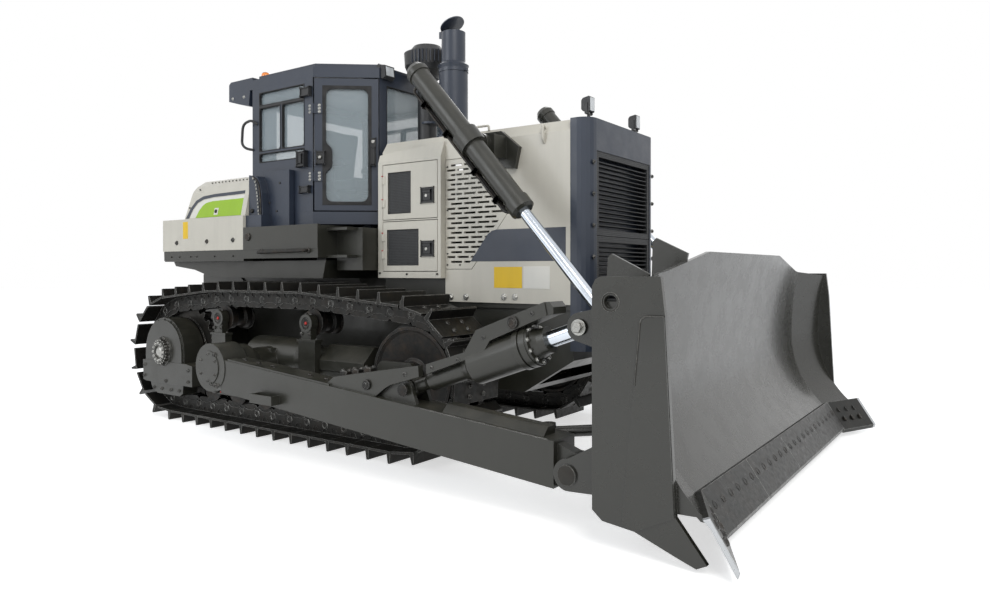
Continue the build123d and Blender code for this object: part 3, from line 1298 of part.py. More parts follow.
def end_plate():
    """The wing's end plate with its rounded heel, lifting hole and stiffener step."""
    outline = [
        (2680, 163), (2865, 142), (3085, 60), (3195, 22), (3250, 50), (3088, 255),
        (3034, 1262), (3010, 1466), (2672, 1466), (2640, 1450), (2620, 1410), (2620, 214),
    ]
    plate = side_prism(outline, WING_END_Y, WING_END_Y + END_PLATE)
    plate -= disc(2730, 1330, 38, WING_END_Y - 5, WING_END_Y + END_PLATE + 5)
    doubler = side_prism([
        (2930, 1262), (2905, 1240), (2870, 900), (2800, 170), (2880, 150), (3085, 255),
        (3032, 1262)], WING_END_Y + END_PLATE - 1, WING_END_Y + END_PLATE + 12)
    return plate + doubler


def pin_lugs():
    """Lower lugs each side of a push arm's eye, with the pin and its ball."""
    x, z, y = BLADE_PIN_X, BLADE_PIN_Z, BLADE_PIN_Y
    parts = []
    for y0 in (y - EYE_HALF - LUG_GAP - LUG_PLATE, y + EYE_HALF + LUG_GAP):
        plate = side_prism([
            (x, z - 92), (BACK_X + 130, 262), (BACK_X + 130, 560), (BACK_X - 20, 560),
            (x, z + 92)], y0, y0 + LUG_PLATE)
        parts.append(plate + disc(x, z, 92, y0, y0 + LUG_PLATE))
    cap = disc(x, z, 62, y + EYE_HALF + LUG_GAP + LUG_PLATE - 1, y + EYE_HALF + LUG_GAP + LUG_PLATE + 12)
    pin = disc(x, z, PIN_R, y - EYE_HALF - LUG_GAP - LUG_PLATE, y + EYE_HALF + LUG_GAP + LUG_PLATE)
    return parts + [cap, pin]


def brace_lugs():
    """Upper clevis on the blade's back for the tilt rod or the brace."""
    x, z = TILT_EYE_X, TILT_EYE_Z
    parts = []
    reach = TILT_EYE_HALF + TILT_FRONT_GAP
    for y0 in (TILT_Y - reach - 28, TILT_Y + reach):
        plate = side_prism([
            (x - 10, z - 84), (BACK_X + 100, 1000), (BACK_X + 100, 1330), (x - 10, z + 84)],
            y0, y0 + 28)
        parts.append(plate + disc(x, z, 84, y0, y0 + 28))
    pin = disc(x, z, TILT_PIN_R, TILT_Y - reach - 28, TILT_Y + reach + 28)
    return parts + [pin]


def lift_lugs():
    """Tall plates each side of a lift rod's eye."""
    x, z = LIFT_EYE_X, LIFT_EYE_Z
    parts = []
    reach = LIFT_EYE_HALF + LIFT_LUG_GAP
    for y0 in (LIFT_Y - reach - 26, LIFT_Y + reach):
        plate = side_prism([
            (x - 90, z - 60), (x - 60, z - 110), (BACK_X + 130, 500), (BACK_X + 112, 900),
            (BACK_X + 125, 1380), (BACK_X + 42, 1380), (x - 60, z + 110), (x - 90, z + 60)],
            y0, y0 + 26)
        parts.append(plate)
    return parts


def wing_block():
    """Box behind each wing, from the knee to the end plate, that carries the lugs."""
    way, length = wing_dir()
    outline = [(BACK_X, 1330), (BACK_X, 330), (BACK_X + 120, 262)] + behind(270, 1330)
    y = KNEE_Y - 1
    face = make_face(Polyline(*[(x, y, z) for x, z in outline + outline[:1]]))
    straight = extrude(face, amount=WING_END_Y - KNEE_Y + 2, dir=(0, 1, 0))
    sheared = extrude(face, amount=length * 1.003, dir=way.normalized())
    return straight + sheared


def top_guards():
    """Two triangular plates behind the blade's right shoulder, which shield the tilt cylinder."""
    guards = []
    for y, rear, low_x, top, front, foot in (
            (-1720, 2560, 2670, 1593, 2820, 1480), (-1200, 2612, 2722, 1700, 2905, 1576)):
        plate = side_prism([
            (low_x, 1310), (rear, 1400), (rear + 10, top - 22), (rear + 34, top), (front, foot),
            (front, 1310)], y - 10, y + 10)
        skin = [(face_x(z) - MOLD_PLATE / 2, z) for z in (1300, 1380, 1460, 1540, 1620, 1720)]
        keep = side_prism([(2400, 1300)] + skin + [(2400, 1720)], y - 20, y + 20)
        guards.append(plate & keep)
    return guards


def strut():
    """Diagonal strut on the blade's back, outside the lift lugs and clear of the push arm."""
    a, b = (2706, 1180, 520), (2050, 1515, 468)
    end = turned([(-60, 0), (-60, 44), (0, 52), (60, 44), (60, 0)], b, (0, 0, 1))
    return bar(a, b, 36) + end


def blade():
    """The whole blade body, without its bolted edges."""
    side_parts = [wing_block(), end_plate(), strut()] + pin_lugs() + brace_lugs() + lift_lugs()
    all_parts = blade_back() + top_guards() + side_parts + [mirrored(p) for p in side_parts]
    body = moldboard().fuse(*all_parts)
    ball = Pos(BLADE_PIN_X, BLADE_PIN_Y, BLADE_PIN_Z) * Sphere(BALL_R)
    reach = EYE_HALF + 4
    ball &= block((BLADE_PIN_X - 200, BLADE_PIN_X + 200), (BLADE_PIN_Y - reach, BLADE_PIN_Y + reach),
                  (0, 800))
    return body + ball


def edge_section(y, low_z, low_x):
    """Section of a bolted edge that lies on the front of the lip."""
    x0, x1 = face_x(EDGE_HIGH_Z), face_x(LIP_Z)
    dx, dz = low_x - x1, low_z - LIP_Z
    length = hypot(dx, dz)
    nx, nz = -dz / length * EDGE_PLATE, dx / length * EDGE_PLATE
    return make_face(Polyline(
        (x1 + 0.5, y, LIP_Z), (low_x, y, low_z), (low_x + nx * 0.2, y, low_z),
        (low_x + nx - 12, y, low_z + nz + 14),
        (x0 + nx + 10, y, EDGE_HIGH_Z + nz), (x0 + 1.5, y, EDGE_HIGH_Z), (x1 + 0.5, y, LIP_Z)))


def blade_edges():
    """Cutting edge segments and the two corner bits."""
    gap, count = 3, 4
    parts = []
    width = 2 * KNEE_Y / count
    for k in range(count):
        y = -KNEE_Y + k * width + gap / 2
        parts.append(extrude(edge_section(y, EDGE_LOW_Z, EDGE_LOW_X), amount=width - gap, dir=(0, 1, 0)))
    way, length = wing_dir()
    reach = length * (BLADE_HALF - KNEE_Y - gap) / (WING_END_Y - KNEE_Y)
    section = edge_section(KNEE_Y + gap, EDGE_LOW_Z - 15, EDGE_LOW_X)
    bit = extrude(section, amount=reach, dir=way.normalized())
    bit = Pos(gap * way.X / way.Y, 0, 0) * bit
    parts += [bit, mirrored(bit)]
    return parts


def main():
    os.makedirs("parts", exist_ok=True)
    save("main_frame", main_frame())
    save("drawbar", drawbar())
    save("engine_block", engine_block())
    save("hood", hood())
    save("radiator_guard", radiator_guard())
    upper = screen(GRILLE_SPLIT_Z + 2, CAP_LOW_Z - 20 - SEAT)
    save("grille_screens", upper, screen(1010 + SEAT, GRILLE_SPLIT_Z - 2))
    save("engine_panels", pair(engine_panel()))
    save("service_boxes", pair(service_box()))
    save("fuel_tank", fuel_tank())
    save("fenders", pair(fenders()), tank_pan())
    save("rear_boxes", pair(rear_boxes()))
    save("cab_base", cab_base())
    save("cab_sides", pair(cab_side()))
    save("cab_rear", cab_rear())
    save("cab_front", cab_front())
    save("cab_roof", cab_roof())
    save("cab_glass", *cab_glass())
    save("operator_seat", operator_seat())
    save("exhaust", exhaust())
    save("rain_cap", rain_cap())
    save("precleaner", precleaner())
    save("lamps", *lamps())
    save("sprockets", pair(sprocket()))
    save("idlers", pair(idler()))
    save("final_drives", pair(final_drive()))
    save("lift_yokes", pair(lift_yoke()))
    spacing = (ROLLER_LAST_X - ROLLER_FIRST_X) / (ROLLER_COUNT - 1)
    rollers = [track_roller(ROLLER_FIRST_X + spacing * k) for k in range(ROLLER_COUNT)]
    rollers += [carrier_roller(x) for x in CARRIER_X]
    save("rollers", *[pair(roller) for roller in rollers])
    chain, frame = track(), track_frame()
    barrel, rod = lift_barrel(), lift_rod()
    for side, tag in ((LEFT, "L"), (RIGHT, "R")):
        save(f"track_{tag}", sided(chain, side))
        save(f"track_frame_{tag}", sided(frame, side))
        save(f"lift_barrel_{tag}", sided(barrel, side))
        save(f"lift_rod_{tag}", sided(rod, side))
        save(f"cab_door_{tag}", sided(cab_door(), side))
        save(f"door_glass_{tag}", sided(door_glass(), side))
        for place, (z0, z1) in zip(("upper", "lower"), SERVICE_BAYS):
            save(f"service_door_{place}_{tag}", sided(service_door(z0, z1), side))
    save("push_arm_L", push_arm_left())
    save("push_arm_R", mirrored(push_arm_right()))
    save("tilt_barrel", mirrored(tilt_barrel()))
    save("tilt_rod", mirrored(tilt_rod()))
    save("blade_brace", brace())
    save("blade", blade())
    save("blade_edges", *blade_edges())


main()
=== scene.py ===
import json
from math import asin, atan2, cos, hypot, pi, radians, sin
import bmesh
import bpy
from mathutils import Matrix, Vector


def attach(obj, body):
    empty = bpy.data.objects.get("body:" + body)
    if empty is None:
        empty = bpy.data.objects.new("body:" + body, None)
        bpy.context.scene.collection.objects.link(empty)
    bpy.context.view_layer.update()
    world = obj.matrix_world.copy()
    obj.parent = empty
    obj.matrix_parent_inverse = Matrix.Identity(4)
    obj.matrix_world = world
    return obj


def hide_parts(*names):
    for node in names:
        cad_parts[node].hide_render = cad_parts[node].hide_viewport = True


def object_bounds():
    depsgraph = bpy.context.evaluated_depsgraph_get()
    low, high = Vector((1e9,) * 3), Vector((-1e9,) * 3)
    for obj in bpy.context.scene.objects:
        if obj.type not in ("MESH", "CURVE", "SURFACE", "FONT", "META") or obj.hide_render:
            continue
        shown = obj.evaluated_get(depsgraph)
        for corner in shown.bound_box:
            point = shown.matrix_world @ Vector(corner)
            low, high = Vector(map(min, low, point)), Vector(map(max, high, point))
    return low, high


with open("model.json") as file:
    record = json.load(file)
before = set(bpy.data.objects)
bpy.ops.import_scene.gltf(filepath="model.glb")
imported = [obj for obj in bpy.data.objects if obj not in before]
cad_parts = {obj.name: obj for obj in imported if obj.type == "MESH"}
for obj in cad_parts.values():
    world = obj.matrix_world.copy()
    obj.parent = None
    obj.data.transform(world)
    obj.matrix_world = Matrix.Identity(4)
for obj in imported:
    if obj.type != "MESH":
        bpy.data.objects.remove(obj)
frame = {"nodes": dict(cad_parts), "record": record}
CAD_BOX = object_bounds()
NODES = frame["nodes"]
ROOT = "tractor"


# Node materials. Texture coordinates are the object's own, in metres.

def srgb(r, g, b):
    """A colour of 0 to 255 as linear RGBA."""
    out = []
    for c in (r, g, b):
        c = c / 255
        out.append(c / 12.92 if c <= 0.04045 else ((c + 0.055) / 1.055) ** 2.4)
    return (*out, 1)


def scaled(color, k):
    return (*[min(1, c * k) for c in color[:3]], 1)


MIX_FAC, MIX_A, MIX_B, MIX_COLOR = 0, 6, 7, 2  # the colour sockets of a mix node


class Nodes:
    """A material being built: its node tree with short ways to add to it."""

    def __init__(self, name):
        self.mat = bpy.data.materials.new(name)
        self.mat.use_nodes = True
        self.tree = self.mat.node_tree
        self.bsdf = self.tree.nodes["Principled BSDF"]
        self.coord = self.tree.nodes.new("ShaderNodeTexCoord").outputs["Object"]

    def add(self, kind, inputs=(), **props):
        n = self.tree.nodes.new(kind)
        for k, v in props.items():
            setattr(n, k, v)
        for k, v in dict(inputs).items():
            if isinstance(v, bpy.types.NodeSocket):
                self.tree.links.new(v, n.inputs[k])
            else:
                n.inputs[k].default_value = v
        return n

    def noise(self, scale, detail=4, rough=0.55, vector=None, distort=0):
        ins = {"Vector": vector or self.coord, "Scale": scale, "Detail": detail,
               "Roughness": rough, "Distortion": distort}
        return self.add("ShaderNodeTexNoise", ins).outputs["Fac"]

    def wave(self, scale, distort, direction):
        ins = {"Vector": self.coord, "Scale": scale, "Distortion": distort}
        return self.add("ShaderNodeTexWave", ins, bands_direction=direction).outputs["Fac"]

    def soft_edge(self, radius):
        return self.add("ShaderNodeBevel", {"Radius": radius}, samples=4).outputs["Normal"]

    def face_normal(self):
        return self.add("ShaderNodeNewGeometry").outputs["Normal"]

    def ramp(self, fac, stops):
        n = self.add("ShaderNodeValToRGB", {"Fac": fac})
        e = n.color_ramp.elements
        while len(e) < len(stops):
            e.new(0.5)
        for item, (pos, color) in zip(e, stops):
            item.position = pos
            item.color = color if hasattr(color, "__len__") else (color, color, color, 1)
        return n.outputs["Color"]

    def math(self, op, a, b):
        return self.add("ShaderNodeMath", {0: a, 1: b}, operation=op).outputs[0]

    def mix(self, fac, a, b):
        n = self.add("ShaderNodeMix", data_type="RGBA")
        for i, v in ((MIX_FAC, fac), (MIX_A, a), (MIX_B, b)):
            if isinstance(v, bpy.types.NodeSocket):
                self.tree.links.new(v, n.inputs[i])
            else:
                n.inputs[i].default_value = v
        return n.outputs[MIX_COLOR]

    def stretch(self, x, y, z):
        ins = {"Vector": self.coord, "Scale": (x, y, z)}
        return self.add("ShaderNodeMapping", ins).outputs["Vector"]

    def bump(self, height, strength, distance, normal=None):
        ins = {"Height": height, "Strength": strength, "Distance": distance}
        if normal is not None:
            ins["Normal"] = normal
        return self.add("ShaderNodeBump", ins).outputs["Normal"]

    def set(self, **sockets):
        for k, v in sockets.items():
            key = k.replace("_", " ")
            if isinstance(v, bpy.types.NodeSocket):
                self.tree.links.new(v, self.bsdf.inputs[key])
            else:
                self.bsdf.inputs[key].default_value = v


def edges(m, radius, low=0.90, high=0.995):
    """1 on sharp outer edges, 0 elsewhere, and the softened normal."""
    soft = m.soft_edge(radius)
    ins = {0: soft, 1: m.face_normal()}
    dot = m.add("ShaderNodeVectorMath", ins, operation="DOT_PRODUCT").outputs["Value"]
    return m.ramp(dot, [(low, 1.0), (high, 0.0)]), soft


def paint(name, color, rough, spread, dust, dust_color=None, chips=0.0, coat=0.0,
          orange=0.35, grain=0.0015, edge=0.003):
    """Sprayed paint: slow colour change, orange peel, dust on upward faces and worn edges."""
    m = Nodes(name)
    cloud = m.ramp(m.noise(1.3, 6, 0.6),
                   [(0.3, scaled(color, 1 - spread)), (0.7, scaled(color, 1 + spread))])
    streak = m.noise(1.0, 4, 0.6, vector=m.stretch(9, 9, 0.8))
    tint = m.mix(m.ramp(streak, [(0.45, 0.0), (0.75, 0.35)]), cloud, scaled(color, 0.82))
    up = m.add("ShaderNodeSeparateXYZ", {0: m.face_normal()}).outputs["Z"]
    level = m.ramp(up, [(0.25, 0.0), (0.95, 1.0)])
    patch = m.ramp(m.noise(5.5, 8, 0.65), [(0.42, 0.0), (0.72, 1.0)])
    fac = m.math("MULTIPLY", m.math("MULTIPLY", level, patch), dust)
    tint = m.mix(fac, tint, dust_color or scaled(color, 1.5))
    mask, soft = edges(m, edge)
    worn = m.math("MULTIPLY", mask, m.ramp(m.noise(22, 6, 0.7), [(0.42, 0.0), (0.62, 1.0)]))
    worn = m.math("MULTIPLY", worn, chips)
    tint = m.mix(worn, tint, srgb(150, 150, 146))
    r = m.ramp(m.noise(6, 6, 0.6), [(0.3, rough * 0.8), (0.7, rough * 1.25)])
    peel = m.noise(260, 2, 0.5)
    m.set(Base_Color=tint, Roughness=r, Normal=m.bump(peel, orange, grain, soft))
    if coat:
        m.set(Coat_Weight=coat, Coat_Roughness=0.12)
    return m.mat


def steel(name, color, rough, metallic, rust, bright, scale=30, edge=0.004):
    """Bare or rubbed steel: brown film in random patches, bright edges."""
    m = Nodes(name)
    base = m.ramp(m.noise(scale * 0.2, 8, 0.65),
                  [(0.3, scaled(color, 0.7)), (0.7, scaled(color, 1.25))])
    film = m.ramp(m.noise(scale * 0.35, 8, 0.7, distort=0.4), [(0.45, 0.0), (0.72, 1.0)])
    base = m.mix(m.math("MULTIPLY", film, rust), base, srgb(92, 74, 58))
    mask, soft = edges(m, edge)
    rub = m.math("MULTIPLY", mask, m.ramp(m.noise(scale * 0.6, 5, 0.6), [(0.3, 0.2), (0.6, 1.0)]))
    rub = m.math("MULTIPLY", rub, bright)
    base = m.mix(rub, base, srgb(176, 176, 172))
    r = m.ramp(m.noise(scale, 6, 0.6), [(0.3, rough * 0.7), (0.7, min(1, rough * 1.35))])
    pits = m.bump(m.noise(scale * 5, 4, 0.6), 0.35, 0.002, soft)
    m.set(Base_Color=base, Roughness=r, Metallic=metallic, Normal=pits)
    return m.mat


def chrome(name):
    """Polished rod with fine lengthwise marks."""
    m = Nodes(name)
    tone = m.ramp(m.noise(1.0, 3, 0.5, vector=m.stretch(3, 3, 3)),
                  [(0.3, srgb(188, 196, 206)), (0.7, srgb(214, 220, 228))])
    fine = m.noise(1.0, 2, 0.5, vector=m.stretch(40, 900, 40))
    m.set(Base_Color=tone, Metallic=1.0, Roughness=m.ramp(fine, [(0.3, 0.10), (0.7, 0.2)]),
          Normal=m.bump(fine, 0.05, 0.0002))
    return m.mat


def plastic(name, color, rough, grain=420, depth=0.0006):
    """Moulded plastic or rubber with a fine pebbled grain."""
    m = Nodes(name)
    cell = m.add("ShaderNodeTexVoronoi", {"Vector": m.coord, "Scale": grain}).outputs["Distance"]
    tone = m.ramp(m.noise(8, 5, 0.6), [(0.3, scaled(color, 0.85)), (0.7, scaled(color, 1.2))])
    r = m.ramp(m.noise(14, 4), [(0.3, rough * 0.85), (0.7, min(1, rough * 1.15))])
    m.set(Base_Color=tone, Roughness=r, Normal=m.bump(cell, 0.4, depth, m.soft_edge(0.002)))
    return m.mat


def glass(name, tint):
    """Thin window glass: a pale see-through sheet with a film of dirt."""
    m = Nodes(name)
    film = m.ramp(m.noise(2.2, 5, 0.6), [(0.35, 0.02), (0.8, 0.10)])
    m.set(Base_Color=tint, Roughness=film, Transmission_Weight=0.0, Alpha=0.34,
          Specular_IOR_Level=0.9)
    m.mat.surface_render_method = "BLENDED"
    return m.mat


def lens(name, color, ribs=160, glow=0.0):
    """A ribbed lamp cover."""
    m = Nodes(name)
    wave = m.wave(ribs / 6.28, 0.2, "Y")
    tone = m.ramp(m.noise(20, 3), [(0.3, scaled(color, 0.85)), (0.7, scaled(color, 1.1))])
    m.set(Base_Color=tone, Roughness=0.12, Coat_Weight=0.6, Coat_Roughness=0.05,
          Normal=m.bump(wave, 0.5, 0.002))
    if glow:
        m.set(Emission_Color=color, Emission_Strength=glow)
    return m.mat


def mesh_sheet(name, color, pitch, hole=0.36, back=0.1):
    """Perforated sheet: a square grid of round holes along x + y and up, filled with painted shade
    for the dark space behind the sheet.
    """
    m = Nodes(name)
    sep = m.add("ShaderNodeSeparateXYZ", {0: m.coord})
    along = m.math("ADD", sep.outputs["X"], sep.outputs["Y"])
    flat = m.add("ShaderNodeCombineXYZ", {0: along, 1: sep.outputs["Z"], 2: 0.0}).outputs[0]
    cell = m.add("ShaderNodeTexVoronoi", {"Vector": flat, "Scale": 1 / pitch, "Randomness": 0.0},
                 feature="F1", voronoi_dimensions="2D").outputs["Distance"]
    open_ = m.ramp(cell, [(hole, 1.0), (hole + 0.06, 0.0)])
    tone = m.ramp(m.noise(3, 5), [(0.3, scaled(color, 0.8)), (0.7, scaled(color, 1.25))])
    # The holes get painted shade, the colour times back, for the unlit space behind the sheet.
    m.set(Base_Color=m.mix(open_, tone, scaled(color, back)), Roughness=0.55,
          Normal=m.bump(open_, 1.0, -0.002))
    return m.mat


def cloth(name, color):
    """Woven cloth: threads along and across, and a soft sheen."""
    m = Nodes(name)
    weave = m.math("ADD", m.wave(90, 0.5, "X"), m.wave(90, 0.5, "Y"))
    tone = m.ramp(m.noise(30, 4), [(0.3, scaled(color, 0.8)), (0.7, scaled(color, 1.25))])
    m.set(Base_Color=tone, Roughness=0.9, Sheen_Weight=0.3, Normal=m.bump(weave, 0.4, 0.001))
    return m.mat


CREAM = paint("cream_paint", srgb(204, 200, 188), rough=0.38, spread=0.05, dust=0.2,
              dust_color=srgb(170, 158, 136), coat=0.25)
SLATE = paint("slate_paint", srgb(42, 50, 64), rough=0.40, spread=0.10, dust=0.3,
              dust_color=srgb(120, 118, 112), coat=0.15)
DARK = paint("dark_paint", srgb(42, 42, 36), rough=0.36, spread=0.14, dust=0.2,
             dust_color=srgb(122, 116, 102), chips=0.35, coat=0.15)
BLADE = paint("blade_paint", srgb(36, 36, 30), rough=0.26, spread=0.12, dust=0.12,
              dust_color=srgb(112, 106, 92), chips=0.3, coat=0.35)
LIME = paint("lime_paint", srgb(150, 190, 30), rough=0.35, spread=0.04, dust=0.1)
WHITE = paint("white_paint", srgb(226, 224, 216), rough=0.35, spread=0.03, dust=0.1)
YELLOW = paint("yellow_plate", srgb(238, 196, 30), rough=0.4, spread=0.03, dust=0.1)
RED = paint("red_mark", srgb(176, 34, 26), rough=0.45, spread=0.08, dust=0.1)
BLACK_STEEL = steel("black_steel", srgb(30, 30, 29), rough=0.5, metallic=0.5, rust=0.3,
                    bright=0.55)
TRACK = steel("track_steel", srgb(34, 34, 32), rough=0.46, metallic=0.55, rust=0.12,
              bright=0.85, edge=0.006)
WORN = steel("worn_steel", srgb(48, 47, 44), rough=0.42, metallic=0.6, rust=0.12, bright=0.8)
EDGE = steel("edge_steel", srgb(36, 37, 35), rough=0.34, metallic=0.5, rust=0.1, bright=1.0,
             edge=0.007)
BRIGHT = steel("bright_steel", srgb(168, 168, 164), rough=0.3, metallic=1.0, rust=0.1,
               bright=0.5)
ENGINE = steel("engine_iron", srgb(90, 88, 80), rough=0.6, metallic=0.2, rust=0.3, bright=0.2)
CHROME = chrome("rod_chrome")


def bright_ends(mat, start):
    """Grinds a steel bright past this distance from the middle plane, in metres."""
    tree = mat.node_tree
    bsdf = tree.nodes["Principled BSDF"]
    split = tree.nodes.new("ShaderNodeSeparateXYZ")
    away = tree.nodes.new("ShaderNodeMath")
    away.operation = "ABSOLUTE"
    past = tree.nodes.new("ShaderNodeMath")
    past.operation = "GREATER_THAN"
    past.inputs[1].default_value = start
    mix = tree.nodes.new("ShaderNodeMix")
    mix.data_type = "RGBA"
    mix.inputs[MIX_B].default_value = srgb(196, 198, 200)
    coord = [n for n in tree.nodes if n.type == "TEX_COORD"][0]
    tree.links.new(coord.outputs["Object"], split.inputs[0])
    tree.links.new(split.outputs["Y"], away.inputs[0])
    tree.links.new(away.outputs[0], past.inputs[0])
    tree.links.new(past.outputs[0], mix.inputs[MIX_FAC])
    tree.links.new(bsdf.inputs["Base Color"].links[0].from_socket, mix.inputs[MIX_A])
    tree.links.new(mix.outputs[MIX_COLOR], bsdf.inputs["Base Color"])


CORNER_BIT_END = 2.038
bright_ends(EDGE, CORNER_BIT_END)
BLACK = plastic("black_plastic", srgb(30, 31, 33), rough=0.45)
RUBBER = plastic("black_rubber", srgb(22, 22, 23), rough=0.7)
MESH = mesh_sheet("dark_mesh", srgb(52, 54, 56), pitch=0.014)
GLASS = glass("window_glass", srgb(186, 200, 206))
LENS = lens("lamp_lens", srgb(220, 224, 226))
AMBER = lens("amber_lens", srgb(235, 130, 12), glow=0.25)
CLOTH = cloth("seat_cloth", srgb(40, 41, 44))

SLOT_MATERIAL = {
    "cream_paint": CREAM, "slate_paint": SLATE, "dark_paint": DARK, "black_steel": BLACK_STEEL,
    "worn_steel": WORN, "edge_steel": EDGE, "rod_chrome": CHROME, "dark_mesh": MESH,
    "black_plastic": BLACK, "window_glass": GLASS, "seat_cloth": CLOTH, "engine_iron": ENGINE,
}
NODE_MATERIAL = {"track_L": TRACK, "track_R": TRACK, "blade": BLADE}
for part in frame["record"]["subparts"]:
    mat = NODE_MATERIAL.get(part["node"], SLOT_MATERIAL[part["material_slot"]])
    data = NODES[part["node"]].data
    data.materials.clear()
    data.materials.append(mat)


# Pieces made of many small solids. Measures are in mm, in the frame of the CAD.

MM = 1000  # in a metre
CORNER_STEPS = 6


def rounded(points, r):
    """The points with each corner between the ends turned into a short curve."""
    pts = [Vector(p) for p in points]
    out = [pts[0]]
    for before, p, after in zip(pts, pts[1:], pts[2:]):
        a, b = before - p, after - p
        cut = min(r, a.length * 0.49, b.length * 0.49)
        a, b = p + a.normalized() * cut, p + b.normalized() * cut
        for k in range(CORNER_STEPS + 1):
            t = k / CORNER_STEPS
            out.append(a * (1 - t) ** 2 + p * 2 * t * (1 - t) + b * t * t)
    return out + [pts[-1]]


def circle(r, n=12, start=0, turn=0.0):
    """Points round a circle, begun a part of a step and an angle past its first axis."""
    angles = [2 * pi * (k + start) / n + turn for k in range(n)]
    return [(r * cos(w), r * sin(w)) for w in angles]


def oblong(u, v):
    """The corners of a rectangle between two values of u and two of v."""
    return (u[0], v[0]), (u[1], v[0]), (u[1], v[1]), (u[0], v[1])


def spoke(x, y, c, s):
    """Places round an upright axis: outwards along (c, s), across, height."""
    return lambda r, t, z: (x + r * c - t * s, y + r * s + t * c, z)


class Piece:
    """A mesh built from small solids, which rides on a body."""

    def __init__(self, name, body=ROOT):
        self.name, self.body, self.bm = name, body, bmesh.new()

    def vert(self, p):
        return self.bm.verts.new(Vector(p) / MM)

    def lathe(self, profile, centre, way, segs, turn=0.0):
        """A turned solid from (distance along the axis, radius) points."""
        d = Vector(way).normalized()
        a = (Vector((0, 0, 1)) if abs(d.z) < 0.9 else Vector((1, 0, 0))).cross(d).normalized()
        b = d.cross(a)
        c = Vector(centre)
        rings = []
        for t, r in profile:
            angles = [turn + 2 * pi * k / segs for k in range(segs)] if r > 0 else [0]
            rings.append([self.vert(c + d * t + (a * cos(w) + b * sin(w)) * r) for w in angles])
        for low, high in zip(rings, rings[1:]):
            for k in range(segs):
                j = (k + 1) % segs
                if len(low) == 1 and len(high) > 1:
                    self.bm.faces.new((low[0], high[j], high[k]))
                elif len(high) == 1 and len(low) > 1:
                    self.bm.faces.new((low[k], low[j], high[0]))
                elif len(low) > 1:
                    self.bm.faces.new((low[k], low[j], high[j], high[k]))

    def bolt(self, centre, way, r, washer=True):
        """Hexagon head with a chamfer, on a washer."""
        if washer:
            self.lathe([(-1, 0), (-1, r * 1.4), (r * 0.16, r * 1.4), (r * 0.22, r * 1.3),
                        (r * 0.22, 0)], centre, way, 16)
        turn = (centre[0] + centre[2]) % 1.0
        self.lathe([(0, 0), (0, r), (r * 0.8, r), (r * 0.95, r * 0.84), (r * 0.95, 0)],
                   centre, way, 6, turn)

    def box(self, x, y, z, bevel, place=None):
        """A block between (low, high) values with softened edges."""
        made = bmesh.ops.create_cube(self.bm, size=1)["verts"]
        for v in made:
            p = [lo + (hi - lo) * (c + 0.5) for c, (lo, hi) in zip(v.co, (x, y, z))]
            v.co = Vector(place(*p) if place else p) / MM
        rim = list({e for v in made for e in v.link_edges})
        bmesh.ops.bevel(self.bm, geom=rim, offset=bevel / MM, segments=2, affect="EDGES")

    def plate(self, points, push, bevel=1.0):
        """A flat outline pushed out into a plate with a softened front edge."""
        low = [self.vert(p) for p in points]
        high = [self.vert(Vector(p) + Vector(push)) for p in points]
        self.bm.faces.new(list(reversed(low)))
        front = self.bm.faces.new(high)
        for k in range(len(low)):
            j = (k + 1) % len(low)
            self.bm.faces.new((low[k], low[j], high[j], high[k]))
        bmesh.ops.bevel(self.bm, geom=list(front.edges), offset=bevel / MM, segments=2,
                        affect="EDGES")

    def sweep(self, path, section, up):
        """A section of (side, up) points carried along a path."""
        pts = [Vector(p) for p in path]
        up = Vector(up)
        rings = []
        for before, p, after in zip(pts[:1] + pts, pts, pts[1:] + pts[-1:]):
            way = (after - before).normalized()
            up = (up - way * up.dot(way)).normalized()
            side = way.cross(up)
            rings.append([self.vert(p + side * s + up * u) for s, u in section])
        for a, b in zip(rings, rings[1:]):
            for k in range(len(section)):
                j = (k + 1) % len(section)
                self.bm.faces.new((a[k], a[j], b[j], b[k]))
        self.bm.faces.new(list(reversed(rings[0])))
        self.bm.faces.new(rings[-1])

    def pipe(self, points, r, bend, up=(0.31, 0.17, 0.93)):
        """A round bar with bends. Its up is askew, so that no run lies along it."""
        self.sweep(rounded(points, bend), circle(r), up)

    def rim(self, u, v, grow, inset, r, low, high, place, bump=()):
        """A window's rubber frame: square outside, round in the corners inside. The bump gives
        (inwards, height) points of a bulge on the low side of u."""
        outer, inner = [], []
        deep = inset + r
        ends = ((u[1] - deep, v[1] - deep, 0), (u[0] + deep, v[1] - deep, 90),
                (u[0] + deep, v[0] + deep, 180), (u[1] - deep, v[0] + deep, 270))
        for cu, cv, start in ends:
            for k in range(CORNER_STEPS + 1):
                w = radians(start + 90 // CORNER_STEPS * k)
                reach = (deep + grow) / max(abs(cos(w)), abs(sin(w)))
                inner.append((cu + r * cos(w), cv + r * sin(w)))
                outer.append((cu + reach * cos(w), cv + reach * sin(w)))
            if start == 90:
                for du, bv in bump:
                    inner.append((u[0] + inset + du, bv))
                    outer.append((u[0] - grow, bv))
        mid = [((a[0] + b[0]) / 2, (a[1] + b[1]) / 2) for a, b in zip(outer, inner)]
        lines = ((outer, low), (outer, high - 2), (mid, high), (inner, high - 3), (inner, low))
        loops = [[self.vert(place(a, n, b)) for a, b in line] for line, n in lines]
        for one, two in zip(loops, loops[1:] + loops[:1]):
            for k in range(len(one)):
                j = (k + 1) % len(one)
                self.bm.faces.new((one[k], one[j], two[j], two[k]))

    def done(self, material, slot, smooth=30):
        """Makes the object, with edges sharper than this angle left sharp."""
        bmesh.ops.recalc_face_normals(self.bm, faces=self.bm.faces)
        data = bpy.data.meshes.new(self.name)
        self.bm.to_mesh(data)
        self.bm.free()
        data.materials.append(material)
        for face in data.polygons:
            face.use_smooth = True
        data.set_sharp_from_angle(angle=radians(smooth))
        obj = bpy.data.objects.new(self.name, data)
        bpy.context.scene.collection.objects.link(obj)
        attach(obj, self.body)
        return obj


